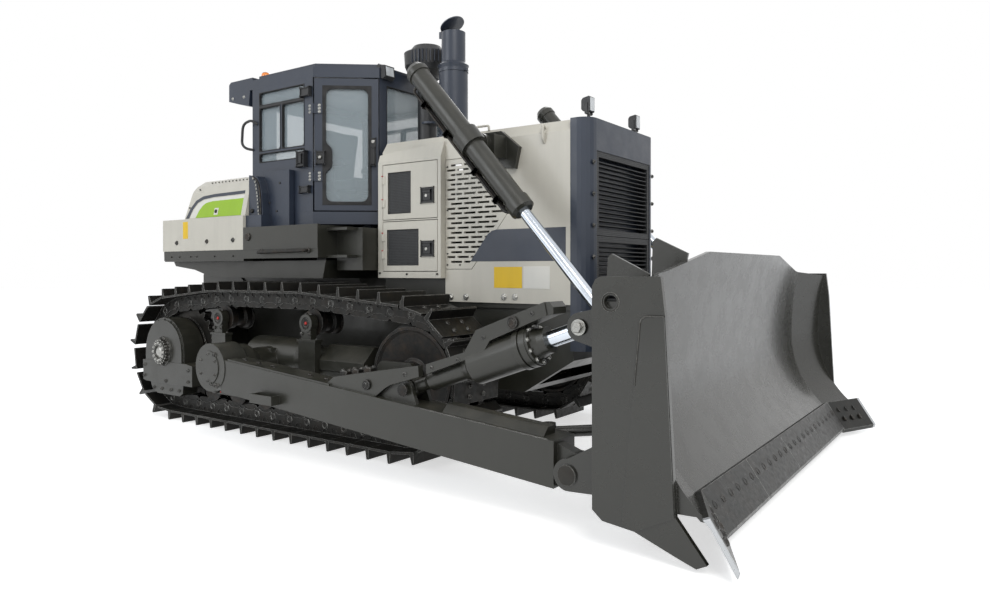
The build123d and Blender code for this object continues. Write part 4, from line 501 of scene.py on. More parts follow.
SIDES = (("L", 1), ("R", -1))
UP = (0, 0, 1)
CAB_WALL = 887  # from the middle plane to the cab's side
CAB_CORNER = -881  # x where the cab's side ends and the slanted door wall starts


def slant(side):
    """Places on the slanted door wall: along it, out of it, height."""
    return lambda s, n, z: (CAB_CORNER + 0.7809 * s + 0.6247 * n,
                            side * (CAB_WALL - 0.6247 * s + 0.7809 * n), z)


def wall(side, y):
    """Places on a wall at y from the middle plane: x, distance out of it, height."""
    return lambda x, n, z: (x, side * (y + n), z)


# Tracks

TRACK_Y = 1070  # from the middle plane to a track's own
SHOES = 41
SHOE_FACE = 82  # from the line of the pins out to the shoe bolts
LINK_FACE = 111.5  # from the track's middle to the outer face of a link
CARRIERS_X, CARRIER_Z = (-1780, -530), 1042
DRIVE_X, DRIVE_Z = -2505, 690
# x, z and radius of the pins' path round sprocket, carrier rollers and idler
WHEELS = [(-2560, 657.6, 495.6), (-1780, 1042, 191.5), (-530, 1042, 191.5), (590, 656.4, 494.4)]


def track_pins():
    """Places of the pins, a step apart along the belt round the wheels."""
    lean, parts, count = [], [], len(WHEELS)
    for i, (x0, z0, r0) in enumerate(WHEELS):
        x1, z1, r1 = WHEELS[(i + 1) % count]
        lean.append(atan2(z1 - z0, x1 - x0) + pi / 2 + asin((r1 - r0) / hypot(x1 - x0, z1 - z0)))
    for i, (x0, z0, r0) in enumerate(WHEELS):
        x1, z1, r1 = WHEELS[(i + 1) % count]
        a = (x0 + r0 * cos(lean[i]), z0 + r0 * sin(lean[i]))
        b = (x1 + r1 * cos(lean[i]), z1 + r1 * sin(lean[i]))
        parts.append(("run", a, b, hypot(b[0] - a[0], b[1] - a[1])))
        turn = (lean[i] - lean[(i + 1) % count]) % (2 * pi)
        parts.append(("arc", (x1, z1, r1), lean[i], r1 * turn))
    total = sum(p[3] for p in parts)
    pins = []
    for k in range(SHOES):
        left = total * k / SHOES
        for kind, a, b, length in parts:
            if left <= length:
                break
            left -= length
        if kind == "run":
            pins.append(tuple(p + (q - p) * left / length for p, q in zip(a, b)))
        else:
            pins.append((a[0] + a[2] * cos(b - left / a[2]), a[1] + a[2] * sin(b - left / a[2])))
    return pins


LINK_SHAPE = [(-100, -26), (-82, -50), (-46, -30), (46, -30), (82, -50), (100, -26), (100, 26),
              (84, 56), (34, 56), (22, 20), (-22, 20), (-34, 56), (-84, 56), (-100, 26)]


def track_trim(name, side):
    """Shoe bolts, link plates and pin ends of one track."""
    pins = track_pins()
    bolts, links = Piece("shoe_bolts_" + name), Piece("track_links_" + name)
    for i, (x0, z0) in enumerate(pins):
        x1, z1 = pins[(i + 1) % len(pins)]
        length = hypot(x1 - x0, z1 - z0)
        ax, az = (x1 - x0) / length, (z1 - z0) / length
        mx, mz = (x0 + x1) / 2, (z0 + z1) / 2
        for t in (-24, 58):
            for dy in (-87, 87):
                spot = (mx + ax * t - az * SHOE_FACE, side * TRACK_Y + dy,
                        mz + az * t + ax * SHOE_FACE)
                bolts.bolt(spot, (-az, 0, ax), 16)
        for s in (-1, 1):
            y = side * TRACK_Y + s * LINK_FACE
            shape = [(mx + ax * t - az * n, y, mz + az * t + ax * n) for t, n in LINK_SHAPE]
            links.plate(shape, (0, s * 6, 0), 1.5)
            links.lathe([(-2, 0), (-2, 36), (9, 36), (12, 33), (12, 22), (9, 20), (9, 0)],
                        (x0, y, z0), (0, s, 0), 18)
    bolts.done(WORN, "worn_steel")
    links.done(TRACK, "black_steel")


def frame_trim(name, side):
    """Final drive hub, carrier roller shafts, frame bolts and roller hardware."""
    dark, bright, red = (Piece(n + name) for n in ("frame_bolts_", "hub_bolts_", "shaft_marks_"))
    out = (0, side, 0)
    for a, b in circle(86, 12):
        bright.bolt((DRIVE_X + a, side * 1454, DRIVE_Z + b), out, 11)
    for a, b in circle(132, 12, turn=0.2):
        dark.bolt((DRIVE_X + a, side * 1414, DRIVE_Z + b), out, 12)
    for c, s in circle(1, 24):
        bright.box((106, 124), (1416, 1446), (-7, 7), 2, lambda r, y, t, c=c, s=s:
                   (DRIVE_X + r * c - t * s, side * y, DRIVE_Z + r * s + t * c))
    bright.lathe([(0, 60), (6, 58), (12, 40), (16, 36), (16, 0)],
                 (DRIVE_X, side * 1438, DRIVE_Z), out, 28)
    for x in (-2700, -2560, -2400, -2260):
        dark.bolt((x, side * 1380, 312), out, 14)
    for x, z in ((-2830, 540), (-2830, 430), (-2070, 530), (-2070, 420), (-2450, 400)):
        dark.bolt((x, side * 1406, z), out, 14)
    for k in range(9):
        w = radians(8 + 20.5 * k)
        dark.bolt((DRIVE_X + 322 * cos(w), side * 1384, DRIVE_Z + 322 * sin(w)), out, 8, False)
    for x in CARRIERS_X:
        dark.lathe([(-30, 0), (-30, 50), (4, 50), (8, 46), (8, 30), (3, 28), (3, 0)],
                   (x, side * 1272, CARRIER_Z), out, 28)
        red.lathe([(0, 0), (0, 15), (5, 14), (7, 10), (7, 0)], (x, side * 1275, CARRIER_Z), out, 16)
        for s in (-30, 30):
            dark.bolt((x + s, side * 1244, 1116), UP, 13)
            dark.bolt((x + s * 1.7, side * 1281, 950), out, 12)
        for s in (-78, 104):
            dark.bolt((x + s, side * 1244, 904), UP, 12)
    for x in range(-1860, 61, 394):
        dark.bolt((x, side * 1238, 330), out, 17)
        red.lathe([(0, 0), (0, 9), (4, 8), (4, 0)], (x + 70, side * 1238, 330), out, 12)
    for a, b in circle(172, 8, 0.5):
        dark.bolt((-1080 + a, side * 1634, 660 + b), out, 15)
    dark.done(BLACK_STEEL, "black_steel")
    bright.done(BRIGHT, "worn_steel")
    red.done(RED, "black_plastic")


# Arms and cylinders

PLUG = [(0, 0), (0, 38), (12, 38), (16, 34), (16, 22), (24, 20), (24, 0)]
TILT_FOOT, TILT_WAY = Vector((1090, -1722, 690)), Vector((0.9418, 0, 0.3362))
LIFT_PIN = (1030, 1000, 2499)
LIFT_WAY, LIFT_UNDER = Vector((0.6593, 0, -0.7519)), Vector((-0.7519, 0, -0.6593))


def arm_top(x):
    """Height of the push arm's upper face."""
    return 765 - 0.08102 * (x + 880)


def arm_trim(name, side):
    """Bolts, trunnion ring, front cap and weld beads of a push arm."""
    bolts = Piece("arm_bolts_" + name, "push_arm_" + name)
    out = (0, side, 0)
    slope = (0.0807, 0, 0.9967)
    for x in (-740, -560, -380, 60, 240):
        bolts.bolt((x, side * 1740, arm_top(x)), slope, 18)
    for x, z in ((-1000, 556), (-955, 550), (-912, 546)):
        bolts.bolt((x, side * 1876, z), out, 15)
    bolts.bolt((-955, side * 1876, 800), out, 17)
    for a, b in circle(112, 6, 0.5):
        bolts.bolt((-1040 + a, side * 1883, 690 + b), out, 10)
    bolts.lathe([(0, 44), (6, 42), (10, 24), (10, 0)], (1090, side * 1836, 690), out, 24)
    bolts.done(BLACK_STEEL, "black_steel")
    weld = Piece("arm_welds_" + name, "push_arm_" + name)
    for y in (1868, 1622):
        run = range(1250 if y > 1700 else 450, 2290, 40)
        weld.sweep([(x, side * y + 1.2 * sin(x * 0.9), arm_top(x) + 1 + 0.8 * sin(x * 0.7))
                    for x in run], circle(5, 8), UP)
    weld.done(WORN, "worn_steel")


def cover_trim():
    """Clamps and plugs on the right arm's hose cover and the tilt cylinder."""
    clamp = Piece("hose_clamps", "push_arm_R")
    for x in (470, 590, 710):
        z = 727 + (x - 433) * 0.176
        clamp.box((x - 34, x + 34), (-1790, -1722), (z - 6, z + 34), 5)
        for s in (-18, 18):
            clamp.bolt((x + s, -1756 + s, z + 34), UP, 11)
    right = (0, -1, 0)
    clamp.lathe([(0, 0), (0, 36), (14, 36), (18, 32), (18, 18), (26, 16), (26, 0)],
                (770, -1846, 700), right, 24)
    clamp.bolt((1120, -1846, 800), right, 13)
    clamp.done(BLACK_STEEL, "black_steel")
    a, b = Vector((0, 1, 0)), TILT_WAY.cross(Vector((0, 1, 0)))
    bright, dark = Piece("gland_bolts_tilt", "tilt_barrel"), Piece("tilt_fittings", "tilt_barrel")
    for c, s in circle(1, 10, 0.5):
        bright.bolt(TILT_FOOT + TILT_WAY * 1073 + (a * c + b * s) * 115, TILT_WAY, 12)
    bright.done(BRIGHT, "worn_steel")
    dark.lathe(PLUG, (1985, -1830, 1181), right, 24)
    for x, z in ((1340, 860), (1560, 925), (1760, 1080), (2120, 1240)):
        dark.bolt((x, -1830, z), right, 11)
    dark.pipe([(x, -1690, z) for x, z in ((1330, 820), (1500, 850), (1660, 905), (1730, 960))],
              13, 80)
    dark.done(BLACK_STEEL, "black_steel")
    rod = Piece("clevis_nut", "blade")
    rod.bolt((2440, -1840, 1172), right, 34)
    rod.done(BRIGHT, "worn_steel")


def lift_trim(name, side):
    """Rigid oil pipes with clamps along a lift cylinder, its gland bolts and trunnion cap."""
    x0, y0, z0 = LIFT_PIN
    foot = Vector((x0, side * y0, z0))
    pipes, bolts = (Piece(n + name, "lift_barrel_" + name) for n in ("lift_pipes_", "lift_bolts_"))

    def spot(t, off, y):
        """A place along the barrel from its pin, off its line on the under side, and across."""
        return foot + LIFT_WAY * t + LIFT_UNDER * off + Vector((0, y, 0))

    for y, tail in ((-24, -700), (24, -640)):
        pipes.pipe([spot(tail, 70, y), spot(tail, 116, y), spot(650, 116, y),
                    spot(690, 84, y * 0.5)], 12, 40)
    for t in (-520, -180, 240, 540):
        for s in (-1, 1):
            pipes.box((-16, 16), (-46, 46), (80, 132), 4, lambda a, y, o, t=t: spot(t + a, o, y))
            bolts.bolt(spot(t, 131, s * 40), LIFT_UNDER, 8, False)
    pipes.done(BLACK_STEEL, "black_steel")
    a, b = Vector((0, 1, 0)), LIFT_WAY.cross(Vector((0, 1, 0)))
    for c, s in circle(1, 8):
        bolts.bolt(foot + LIFT_WAY * 738 + (a * c + b * s) * 84, LIFT_WAY, 10)
    bolts.lathe([(-2, 0), (-2, 44), (8, 44), (12, 40), (12, 0)], (x0, side * 1082, z0),
                (0, side, 0), 24)
    bolts.done(BLACK_STEEL, "black_steel")


# Bodywork

def tank_side(side):
    """Places on the tank's leaning side: x, distance out, height."""
    return lambda x, n, z: (x, side * (1072 - 54 * (z - 2029) / 271 + n), z + n * 0.2)


# name, material, slot, thickness and outline in x and z
TANK_ART = (
    ("tank_stripe_", SLATE, "slate_paint", 1.9,
     [(-2630, 2038), (-2572, 2150), (-2500, 2222), (-2390, 2262), (-2200, 2276), (-1700, 2284),
      (-1700, 2252), (-2200, 2244), (-2370, 2230), (-2462, 2198), (-2524, 2136), (-2572, 2038)]),
    ("tank_border_", WHITE, "cream_paint", 1.2,
     [(-2560, 2038), (-2512, 2130), (-2450, 2188), (-2362, 2220), (-2200, 2234), (-1700, 2242),
      (-1700, 2038)]),
    ("tank_panel_", LIME, "cream_paint", 2.6,
     [(-2458, 2038), (-2416, 2112), (-2366, 2164), (-2312, 2190), (-2210, 2202), (-1706, 2208),
      (-1706, 2038)]),
)


def tank_trim(name, side):
    """Stripes, plates, bolts and pipes on the tank, its tray and the rear boxes."""
    place = tank_side(side)
    for label, material, slot, thick, shape in TANK_ART:
        piece = Piece(label + name)
        piece.plate([place(x, -0.4, z) for x, z in shape], (0, side * thick, thick * 0.2), 0.6)
        piece.done(material, slot)
    small = Piece("tank_latch_plate_" + name)
    small.plate([place(x, 2, z) for x, z in oblong((-2150, -2085), (2058, 2128))],
                (0, side * 2, 0.4))
    small.done(WHITE, "cream_paint")
    dark = Piece("tank_bolts_" + name)
    out, leaning = (0, side, 0), (0, side, 0.2)
    dark.lathe([(0, 0), (0, 20), (6, 20), (9, 15), (9, 0)], place(-2118, 3, 2094), leaning, 16)
    for x, z in ((-2744, 1787), (-2216, 1791), (-1790, 1796)):
        dark.bolt((x, side * 1100, z), out, 17)
    for x in (-2855, -2708, -2510, -2405, -2100, -1800):
        dark.bolt((x, side * 1094, 1640), out, 9, False)
    for k in range(12):
        dark.bolt((-2330 + k * 57, side * 957, 2400), (0, side * 0.69, 0.72), 8, False)
    for x, z in ((-2460, 2335), (-2588, 2150)):
        dark.bolt(place(x, 0, z), leaning, 9, False)
    dark.lathe([(-3, 0), (-3, 38), (10, 38), (16, 32), (16, 0)], (-1556, side * 1099, 1820),
               out, 28)
    for x, z in ((-1271, 2333), (-1420, 2150), (-1316, 2067), (-1413, 1971)):
        dark.bolt((x, side * 950, z), out, 10, False)
    dark.lathe([(0, 0), (0, 22), (16, 20), (22, 12), (22, 0)], (-1581, side * 1030, 2075), out, 20)
    dark.pipe([(-1575, side * 1032, 2405), (-1490, side * 1034, 2360), (-1456, side * 1034, 2220),
               (-1446, side * 1034, 1935)], 9, 80)
    dark.pipe([(-1362, side * 1092, 1676), (-1362, side * 1148, 1668), (-703, side * 1148, 1676),
               (-703, side * 1092, 1682)], 15, 40)
    for x in (-1362, -703):
        dark.lathe([(-2, 0), (-2, 26), (6, 26), (9, 22), (9, 0)], (x, side * 1098, 1678), out, 18)
    dark.done(BLACK_STEEL, "black_steel")
    label = Piece("tank_label_" + name)
    label.plate([(x, side * 1099.8, z) for x, z in oblong((-2634, -2546), (1827, 2002))],
                (0, side * 1.4, 0), 0.5)
    label.done(YELLOW, "cream_paint")
    rib = Piece("pod_clips_" + name)
    for k in range(13):
        t = k / 12
        x, z = -1560 + 92 * t ** 0.4, 2388 - 420 * t
        rib.box((x - 9, x + 9), (1028, 1040), (z - 10, z + 10), 3, lambda a, b, c: (a, side * b, c))
    rib.done(BRIGHT, "worn_steel")


HOOD_SKIN = 614.6  # from the middle plane, just under the hood's outer face
HOOD_ART = (
    ("hood_badge_", SLATE, "slate_paint", 2.2, 0.8,
     [(748, 1572), (925, 1795), (968, 1822), (1020, 1831), (1661, 1831), (1661, 1570)]),
    ("hood_label_", YELLOW, "cream_paint", 1.6, 0.5, oblong((989, 1262), (1355, 1526))),
    ("hood_plate_", WHITE, "cream_paint", 2.0, 0.8, oblong((1274, 1520), (1351, 1530))),
)


def hood_trim(name, side):
    """Blank badge, label and plate, bolts, fasteners, a pipe and handles of the hood."""
    out = (0, side, 0)
    for label, material, slot, thick, bevel, shape in HOOD_ART:
        piece = Piece(label + name)
        piece.plate([(x, side * HOOD_SKIN, z) for x, z in shape], (0, side * thick, 0), bevel)
        piece.done(material, slot)
    bright = Piece("hood_bolts_" + name)
    for x, z in ((540, 1271), (701, 1274), (1087, 1282), (1194, 1284)):
        bright.bolt((x, side * 615, z), out, 20)
    bright.done(BRIGHT, "worn_steel")
    dark = Piece("hood_fasteners_" + name)
    for x, z in ((-230, 1474), (95, 1466), (440, 1467)):
        dark.bolt((x, side * 675, z), out, 10, False)
    for z in (2380, 2010, 1640, 1545):
        dark.bolt((505, side * 615, z), out, 8, False)
    for x, z in ((1190, 2410), (1190, 1990), (640, 1545)):
        dark.bolt((x, side * 615, z), out, 8, False)
    for k in range(6):
        dark.bolt((1866, side * 548, 1120 + k * 240), (1, 0, 0), 13)
    dark.pipe([(-160, side * 590, 2512), (-150, side * 560, 2556), (250, side * 560, 2612),
               (262, side * 590, 2570)], 11, 40)
    dark.done(BLACK_STEEL, "black_steel")
    grip = Piece("hood_handle_" + name)
    front = ((590, 2600), (640, 2640), (640, 2520), (612, 2490))
    top = ((700, 2658), (700, 2700), (900, 2700), (900, 2658))
    grip.pipe([(1470, side * y, z) for y, z in front], 11, 30)
    grip.pipe([(x, side * 560, z) for x, z in top], 10, 30)
    grip.done(CREAM, "cream_paint")


# part, foot and top of the door, then the span in x, foot and top of its window
DOORS = (("upper", 1952, 2440, (-131, 139), 2002, 2370),
         ("lower", 1492, 1930, (-141, 228), 1542, 1860))


def service_door_trim(name, side):
    """Mesh panel, seal, latch, lock and hinge caps of the two service doors of a side."""
    place = wall(side, 675)
    for part, z0, z1, span, w0, w1 in DOORS:
        body = f"service_door_{part}_{name}"
        mesh = Piece(f"door_mesh_{part}_{name}", body)
        shape = oblong((span[0] + 3, span[1] - 3), (w0 + 3, w1 - 3))
        mesh.plate([(x, side * 658.6, z) for x, z in shape], (0, side * 9, 0), 2)
        mesh.done(MESH, "dark_mesh")
        edge = Piece(f"door_seal_{part}_{name}", body)
        edge.rim(span, (w0, w1), 1, 2, 14, -6, 2.5, place)
        edge.done(RUBBER, "black_plastic")
        latch = Piece(f"door_latch_{part}_{name}", body)
        x0, x1, l0, l1 = 262, 404, z0 + 128, z0 + 262
        latch.box((x0, x1), (-3, 9), (l0, l1), 5, place)
        latch.box((x0 + 22, x1 - 26), (7, 17), (l0 + 22, l1 - 22), 5, place)
        latch.box((x0 + 22, x1 - 26), (15, 22), (l0 + 88, l1 - 22), 3, place)
        latch.done(BLACK, "black_plastic")
        key = Piece(f"door_key_{part}_{name}", body)
        key.lathe([(14, 0), (14, 15), (19, 15), (21, 12), (21, 0)],
                  place(x0 + 66, 0, l0 + 62), (0, side, 0), 20)
        key.done(BRIGHT, "worn_steel")
        cap = Piece(f"hinge_caps_{part}_{name}", body)
        for z in (z0 + 110, z1 - 170):
            cap.lathe([(68, 0), (68, 8.5), (76, 8), (78, 5), (78, 0)],
                      (-195, side * 682, z), UP, 12)
        cap.done(RED, "black_plastic")


# low and high x, then low and high z
PANES = ((-1656, -1003, 3128, 3248), (-1656, -1346, 2676, 3098), (-1314, -1003, 2676, 3098),
         (-1656, -1003, 2566, 2646))
HINGE_BOLTS_Z = [z + dz for z in (2330, 2960) for dz in (15, 45, 75)]


def cab_trim(name, side):
    """Seals, brackets, grab rail, hinge bolts and roof lamp lens of a cab side."""
    out = (0, side, 0)
    place = wall(side, CAB_WALL)
    seal = Piece("side_seals_" + name)
    for x0, x1, z0, z1 in PANES:
        seal.rim((x0, x1), (z0, z1), 6, 2, 26, -26, 5, place)
    seal.done(RUBBER, "black_plastic")
    fixed = Piece("cab_brackets_" + name)
    fixed.box((-1056, -950), (-2, 46), (2472, 2612), 8, place)
    fixed.box((-1030, -976), (44, 58), (2500, 2584), 6, place)
    fixed.box((-1016, -896), (-2, 34), (3128, 3206), 8, place)
    fixed.box((-1028, -910), (-2, 34), (2226, 2284), 8, place)
    fixed.pipe([(-1690, side * 886, 2948), (-1724, side * 934, 2986), (-1856, side * 936, 2962),
                (-1872, side * 936, 2760), (-1812, side * 930, 2712), (-1750, side * 886, 2700)],
               13, 70)
    fixed.box((-1650, -1000), (-1, 3), (3104, 3122), 1.5, place)
    fixed.done(BLACK, "black_plastic")
    bright = Piece("hinge_bolts_cab_" + name)
    for z in HINGE_BOLTS_Z:
        bright.bolt((-922, side * CAB_WALL, z), out, 10)
    for x, z in ((-2084, 3253), (-1904, 3249)):
        bright.bolt((x, side * CAB_WALL, z), out, 11)
    bright.done(BRIGHT, "worn_steel")
    lamp = Piece("roof_lens_" + name)
    y = side * 423
    lamp.plate([(-338.5, y - 52, 3322), (-338.5, y + 52, 3322), (-348.5, y + 52, 3408),
                (-348.5, y - 52, 3408)], (5, 0, 0.7), 2)
    lamp.done(LENS, "window_glass")


def cab_door_trim(name, side):
    """Seal that bulges round the handle, handle, hinge bolts and lock of a cab door."""
    body = "cab_door_" + name
    place = slant(side)
    seal = Piece("door_seal_" + name, body)
    bump = [(0, 2700), (14, 2676), (48, 2644), (58, 2610), (58, 2490), (48, 2456), (14, 2424),
            (0, 2400)]
    seal.rim((110, 520), (2130, 3200), 22, 10, 62, -8, 6, place, bump)
    seal.done(RUBBER, "black_plastic")
    handle = Piece("door_handle_" + name, body)
    handle.box((536, 584), (30, 42), (2470, 2730), 6, place)
    handle.box((543, 577), (40, 58), (2486, 2640), 7, place)
    handle.box((36, 112), (-1, 34), (2488, 2604), 8, place)
    handle.done(BLACK, "black_plastic")
    bright = Piece("door_bolts_" + name, body)
    way = Vector(place(0, 1, 0)) - Vector(place(0, 0, 0))
    for z in HINGE_BOLTS_Z:
        bright.bolt(place(62, 10, z), way, 10)
    bright.lathe([(40, 0), (40, 17), (46, 17), (49, 13), (49, 0)], place(560, 0, 2696), way, 20)
    bright.lathe([(33, 0), (33, 22), (38, 22), (50, 12), (52, 0)], place(70, 0, 2548), way, 20)
    bright.done(BRIGHT, "worn_steel")


STACK, CLEANER, FILLER = (322, -300), (-116, -100), (-2240, 420)


def front_trim():
    """Seals of the windows across the cab, hood lamps, beacon, stack, pre-cleaner and tank cap."""
    seal = Piece("cross_seals")
    for z0, z1 in ((2480, 3240), (2100, 2420)):
        seal.rim((-400, 400), (z0, z1), 6, 2, 40, -24, 4, lambda y, n, z: (-401 + n, y, z))
    seal.rim((-640, 640), (2560, 3230), 6, 2, 40, -24, 4, lambda y, n, z: (-1768 - n, y, z))
    seal.done(RUBBER, "black_plastic")
    glassy = Piece("hood_lenses")
    for y in (-460, 390):
        glassy.plate([(1805.5, a, z) for a, z in oblong((y - 33, y + 33), (2727, 2829))],
                     (4, 0, 0), 2)
    glassy.done(LENS, "window_glass")
    dome = Piece("beacon_dome")
    dome.lathe([(52, 0), (52, 47), (60, 47), (70, 45.5), (80, 47), (90, 45.5), (100, 47),
                (110, 45.5), (120, 47), (130, 45.5), (150, 44), (166, 38), (176, 28), (182, 12),
                (183, 0)], (-2060, -500, 3425), UP, 32)
    dome.done(AMBER, "window_glass")
    clamp = Piece("stack_clamps")
    for z in (2724, 3290):
        clamp.lathe([(-14, 129), (-14, 135), (14, 135), (14, 129)], (*STACK, z), UP, 40)
        clamp.box((430, 476), (-316, -284), (z - 12, z + 12), 3)
        clamp.bolt((453, -316, z), (0, -1, 0), 8)
    for a, b in circle(143, 8, 0.5):
        clamp.bolt((STACK[0] + a, STACK[1] + b, 2700), UP, 9)
    clamp.lathe([(-10, 91), (-10, 97), (10, 97), (10, 91)], (*CLEANER, 2900), UP, 32)
    for c, s in circle(1, 36):
        clamp.box((205, 224), (-4, 4), (3452, 3566), 2, spoke(*CLEANER, c, s))
    clamp.done(SLATE, "slate_paint")
    cap = Piece("tank_cap")
    cap.lathe([(0, 0), (0, 82), (26, 82), (34, 74), (34, 30), (46, 26), (46, 0)],
              (*FILLER, 2486), UP, 32)
    for c, s in circle(1, 12):
        cap.box((78, 90), (-5, 5), (2490, 2510), 2, spoke(*FILLER, c, s))
    cap.done(BLACK, "black_plastic")


# Blade

PLOUGH_BOLT = [(-8, 0), (-8, 24), (3.5, 24), (3.5, 17), (0.5, 13), (0.5, 0)]


def blade_trim():
    """Plough bolts on the cutting edge and corner bits, and weld beads on the end plates."""
    way = Vector((0.809, 0, 0.588))  # out of the cutting edge's face
    rise = Vector((-0.588, 0, 0.809))  # up along it
    mid = Vector((3160, 0, 190))  # on it, in the middle plane
    bolts = Piece("edge_bolts", "blade")
    for k in range(24):
        y = -1575 + k * 137
        bolts.lathe(PLOUGH_BOLT, mid + rise * 34 + Vector((0, y, 0)), way, 18)
    for side in (-1, 1):
        for row in (-40, 50):
            for y in (1730, 1830, 1930):
                spot = mid + rise * row + Vector((160 * (y - 1643) / 350, side * y, 0))
                bolts.lathe(PLOUGH_BOLT, spot, way, 18)
    bolts.done(BLACK_STEEL, "black_steel")
    weld = Piece("blade_welds", "blade")
    for side in (-1, 1):
        weld.pipe([(2872, side * 2034, 900), (2905, side * 2034, 1240), (2930, side * 2034, 1263),
                   (3030, side * 2034, 1263)], 5, 30)
        out = (0, side, 0)
        weld.lathe([(-1, 46), (-1, 54), (3, 52), (3, 46)], (2730, side * 2022, 1330), out, 28)
        weld.lathe([(0, 60), (5, 58), (7, 40), (7, 0)], (2400, side * 1910, 335), out, 28)
    weld.done(WORN, "worn_steel")


# Seat. The numbers are shares of a pad's half size.

CORNER, PULL, SEAM_DEPTH, SEAM_WIDTH = 0.22, 0.04, 0.10, 0.035


def cushion(name, centre, half, lean=0.0, crown=0.14, seams=(-0.36, 0.36)):
    """A crowned pad whose sides pull in between the corners, with sewn channels."""
    bm = bmesh.new()
    bmesh.ops.create_cube(bm, size=2)
    bmesh.ops.subdivide_edges(bm, edges=list(bm.edges), cuts=23, use_grid_fill=True)
    turn = Matrix.Rotation(lean, 3, "Y")
    for v in bm.verts:
        x, y, z = v.co
        core = Vector([max(-1 + CORNER, min(1 - CORNER, c)) for c in (x, y, z)])
        away = Vector((x, y, z)) - core
        if away.length > 0:
            away = away.normalized() * CORNER
        p = core + away
        p.z += crown * (1 - x * x) * (1 - y * y) * (1 if z > 0 else 0.2 * z)
        p.x *= 1 - PULL * (1 - y * y) * abs(x)
        p.y *= 1 - PULL * (1 - x * x) * abs(y)
        if z > 0:
            for s in seams:
                p.z -= SEAM_DEPTH * z * 2.718 ** (-((y - s) / SEAM_WIDTH) ** 2)
        v.co = (turn @ Vector((p.x * half[0], p.y * half[1], p.z * half[2])) + Vector(centre)) / MM
    data = bpy.data.meshes.new(name)
    bm.to_mesh(data)
    bm.free()
    data.materials.append(CLOTH)
    for face in data.polygons:
        face.use_smooth = True
    obj = bpy.data.objects.new(name, data)
    bpy.context.scene.collection.objects.link(obj)
    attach(obj, ROOT)
    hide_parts("operator_seat")


def seat():
    """Pads, bellows, plate and arm tubes, which stand for the CAD's seat."""
    cushion("seat_pad", (-1225, 0, 2372), (232, 240, 62))
    cushion("seat_back", (-1500, 0, 2690), (290, 222, 58), lean=radians(-80.5))
    for name, side in reversed(SIDES):
        cushion("seat_arm_" + name, (-1240, side * 300, 2588), (178, 42, 30), seams=(), crown=0.05)
    base = Piece("seat_base")
    for k in range(6):
        z = 1984 + k * 50
        grow = 12 if k % 2 else 0
        base.box((-1410 - grow, -1090 + grow), (-210 - grow, 210 + grow), (z, z + 52), 12)
    tube = ((215, 2240), (292, 2290), (292, 2570))
    for side in (-1, 1):
        base.pipe([(-1240, side * y, z) for y, z in tube], 16, 50)
    base.box((-1450, -1000), (-215, 215), (2280, 2316), 10)
    obj = base.done(BLACK, "black_plastic")
    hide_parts("operator_seat")


for tag, hand in SIDES:
    track_trim(tag, hand)
    frame_trim(tag, hand)
    arm_trim(tag, hand)
    lift_trim(tag, hand)
    tank_trim(tag, hand)
    hood_trim(tag, hand)
    service_door_trim(tag, hand)
    cab_trim(tag, hand)
    cab_door_trim(tag, hand)
cover_trim()
front_trim()
blade_trim()
seat()


# Camera at the photograph's place, lights, floor

PHOTO_W, PHOTO_H = 990, 590
FOCAL_PX, CENTRE_PX = 743.27, (496.996, 272.404)
EYE = (4.4847, -5.5846, 1.4989)
AZIMUTH, PITCH, ROLL = 34.8954, -0.1692, -0.0440
SENSOR = 36
SKY, FLOOR_GLOW = 0.5, 0.62


def camera():
    """The photograph's camera, turned by heading, pitch and roll."""
    az, pitch, roll = radians(AZIMUTH), radians(PITCH), radians(ROLL)
    fwd = Vector((-sin(az) * cos(pitch), cos(az) * cos(pitch), sin(pitch)))
    right = Vector((cos(az), sin(az), 0))
    up = right.cross(fwd)
    r = right * cos(roll) + up * sin(roll)
    u = up * cos(roll) - right * sin(roll)
    data = bpy.data.cameras.new("camera")
    data.sensor_width = SENSOR
    data.lens = FOCAL_PX / PHOTO_W * SENSOR
    data.shift_x = -(CENTRE_PX[0] - PHOTO_W / 2) / PHOTO_W
    data.shift_y = -(PHOTO_H / 2 - CENTRE_PX[1]) / PHOTO_W
    obj = bpy.data.objects.new("camera", data)
    obj.matrix_world = Matrix(((r.x, u.x, -fwd.x, EYE[0]), (r.y, u.y, -fwd.y, EYE[1]),
                               (r.z, u.z, -fwd.z, EYE[2]), (0, 0, 0, 1)))
    bpy.context.scene.collection.objects.link(obj)
    bpy.context.scene.camera = obj


def light(name, place, target, size, power, color=(1, 1, 1)):
    """An area lamp turned to a target."""
    data = bpy.data.lights.new(name, "AREA")
    data.size = size
    data.energy = power
    data.color = color
    obj = bpy.data.objects.new(name, data)
    obj.location = place
    obj.rotation_mode = "QUATERNION"
    obj.rotation_quaternion = (Vector(target) - Vector(place)).to_track_quat("-Z", "Y")
    bpy.context.scene.collection.objects.link(obj)


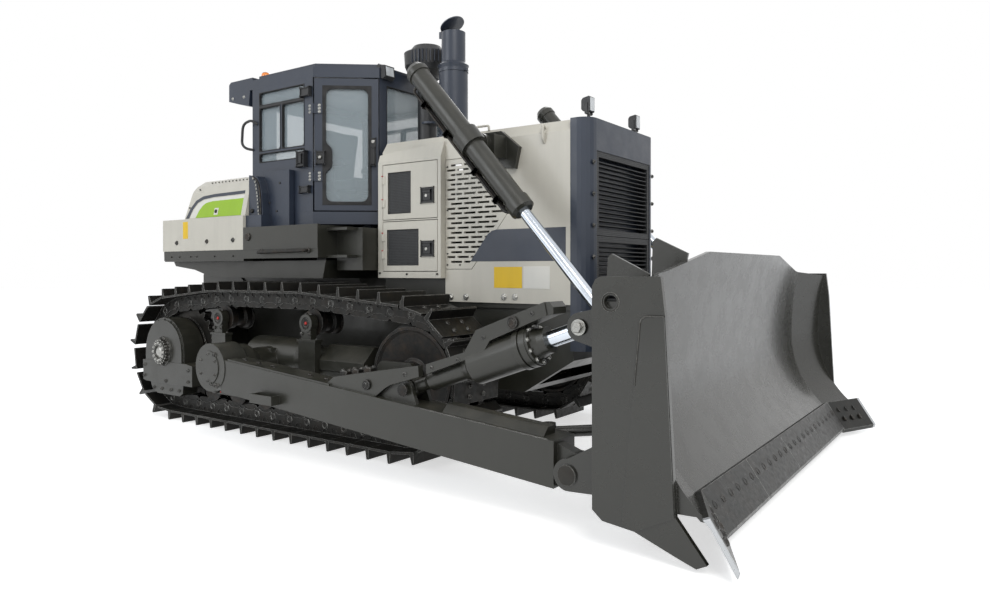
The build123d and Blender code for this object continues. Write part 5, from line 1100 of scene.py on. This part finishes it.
def seen_white(tree, lighting, white, out):
    """The camera, mirrors and glass see the white shader, and everything else the lighting one."""
    path = tree.nodes.new("ShaderNodeLightPath")
    seen = path.outputs["Is Camera Ray"]
    for ray in ("Is Glossy Ray", "Is Transmission Ray"):
        either = tree.nodes.new("ShaderNodeMath")
        either.operation = "MAXIMUM"
        tree.links.new(seen, either.inputs[0])
        tree.links.new(path.outputs[ray], either.inputs[1])
        seen = either.outputs[0]
    mix = tree.nodes.new("ShaderNodeMixShader")
    tree.links.new(seen, mix.inputs[0])
    tree.links.new(lighting, mix.inputs[1])
    tree.links.new(white, mix.inputs[2])
    tree.links.new(mix.outputs[0], out)


def stage():
    """White sky and a white floor that takes shadows, and three lamps."""
    world = bpy.data.worlds.new("world")
    bpy.context.scene.world = world
    world.use_nodes = True
    tree = world.node_tree
    bg = tree.nodes["Background"]
    bg.inputs["Color"].default_value = (0.90, 0.94, 1.0, 1)
    bg.inputs["Strength"].default_value = SKY
    white = tree.nodes.new("ShaderNodeBackground")
    white.inputs["Color"].default_value = (1, 1, 1, 1)
    white.inputs["Strength"].default_value = 1.0
    seen_white(tree, bg.outputs[0], white.outputs[0], tree.nodes["World Output"].inputs["Surface"])
    bpy.ops.mesh.primitive_plane_add(size=120, location=(0, 0, CAD_BOX[0].z - 0.0005))
    floor = bpy.context.object
    floor.name = "floor"
    m = bpy.data.materials.new("floor")
    m.use_nodes = True
    t = m.node_tree
    matt = t.nodes["Principled BSDF"]
    matt.inputs["Base Color"].default_value = (0.80, 0.80, 0.79, 1)
    matt.inputs["Roughness"].default_value = 0.9
    lift = t.nodes.new("ShaderNodeEmission")
    lift.inputs["Color"].default_value = (1, 1, 1, 1)
    lift.inputs["Strength"].default_value = FLOOR_GLOW
    both = t.nodes.new("ShaderNodeAddShader")
    t.links.new(matt.outputs[0], both.inputs[0])
    t.links.new(lift.outputs[0], both.inputs[1])
    seen_white(t, matt.outputs[0], both.outputs[0], t.nodes["Material Output"].inputs["Surface"])
    floor.data.materials.append(m)
    light("key", (9.5, -8.5, 11.0), (0.5, 0, 1.2), 6.0, 900, (1.0, 0.98, 0.95))
    light("side", (-5.0, -12.0, 6.5), (-0.5, 0, 1.2), 7.0, 420, (0.94, 0.97, 1.0))
    light("back", (-7.0, 9.0, 9.0), (0, 0, 1.5), 7.0, 420)
    bpy.context.scene.view_settings.view_transform = "Standard"


camera()
stage()
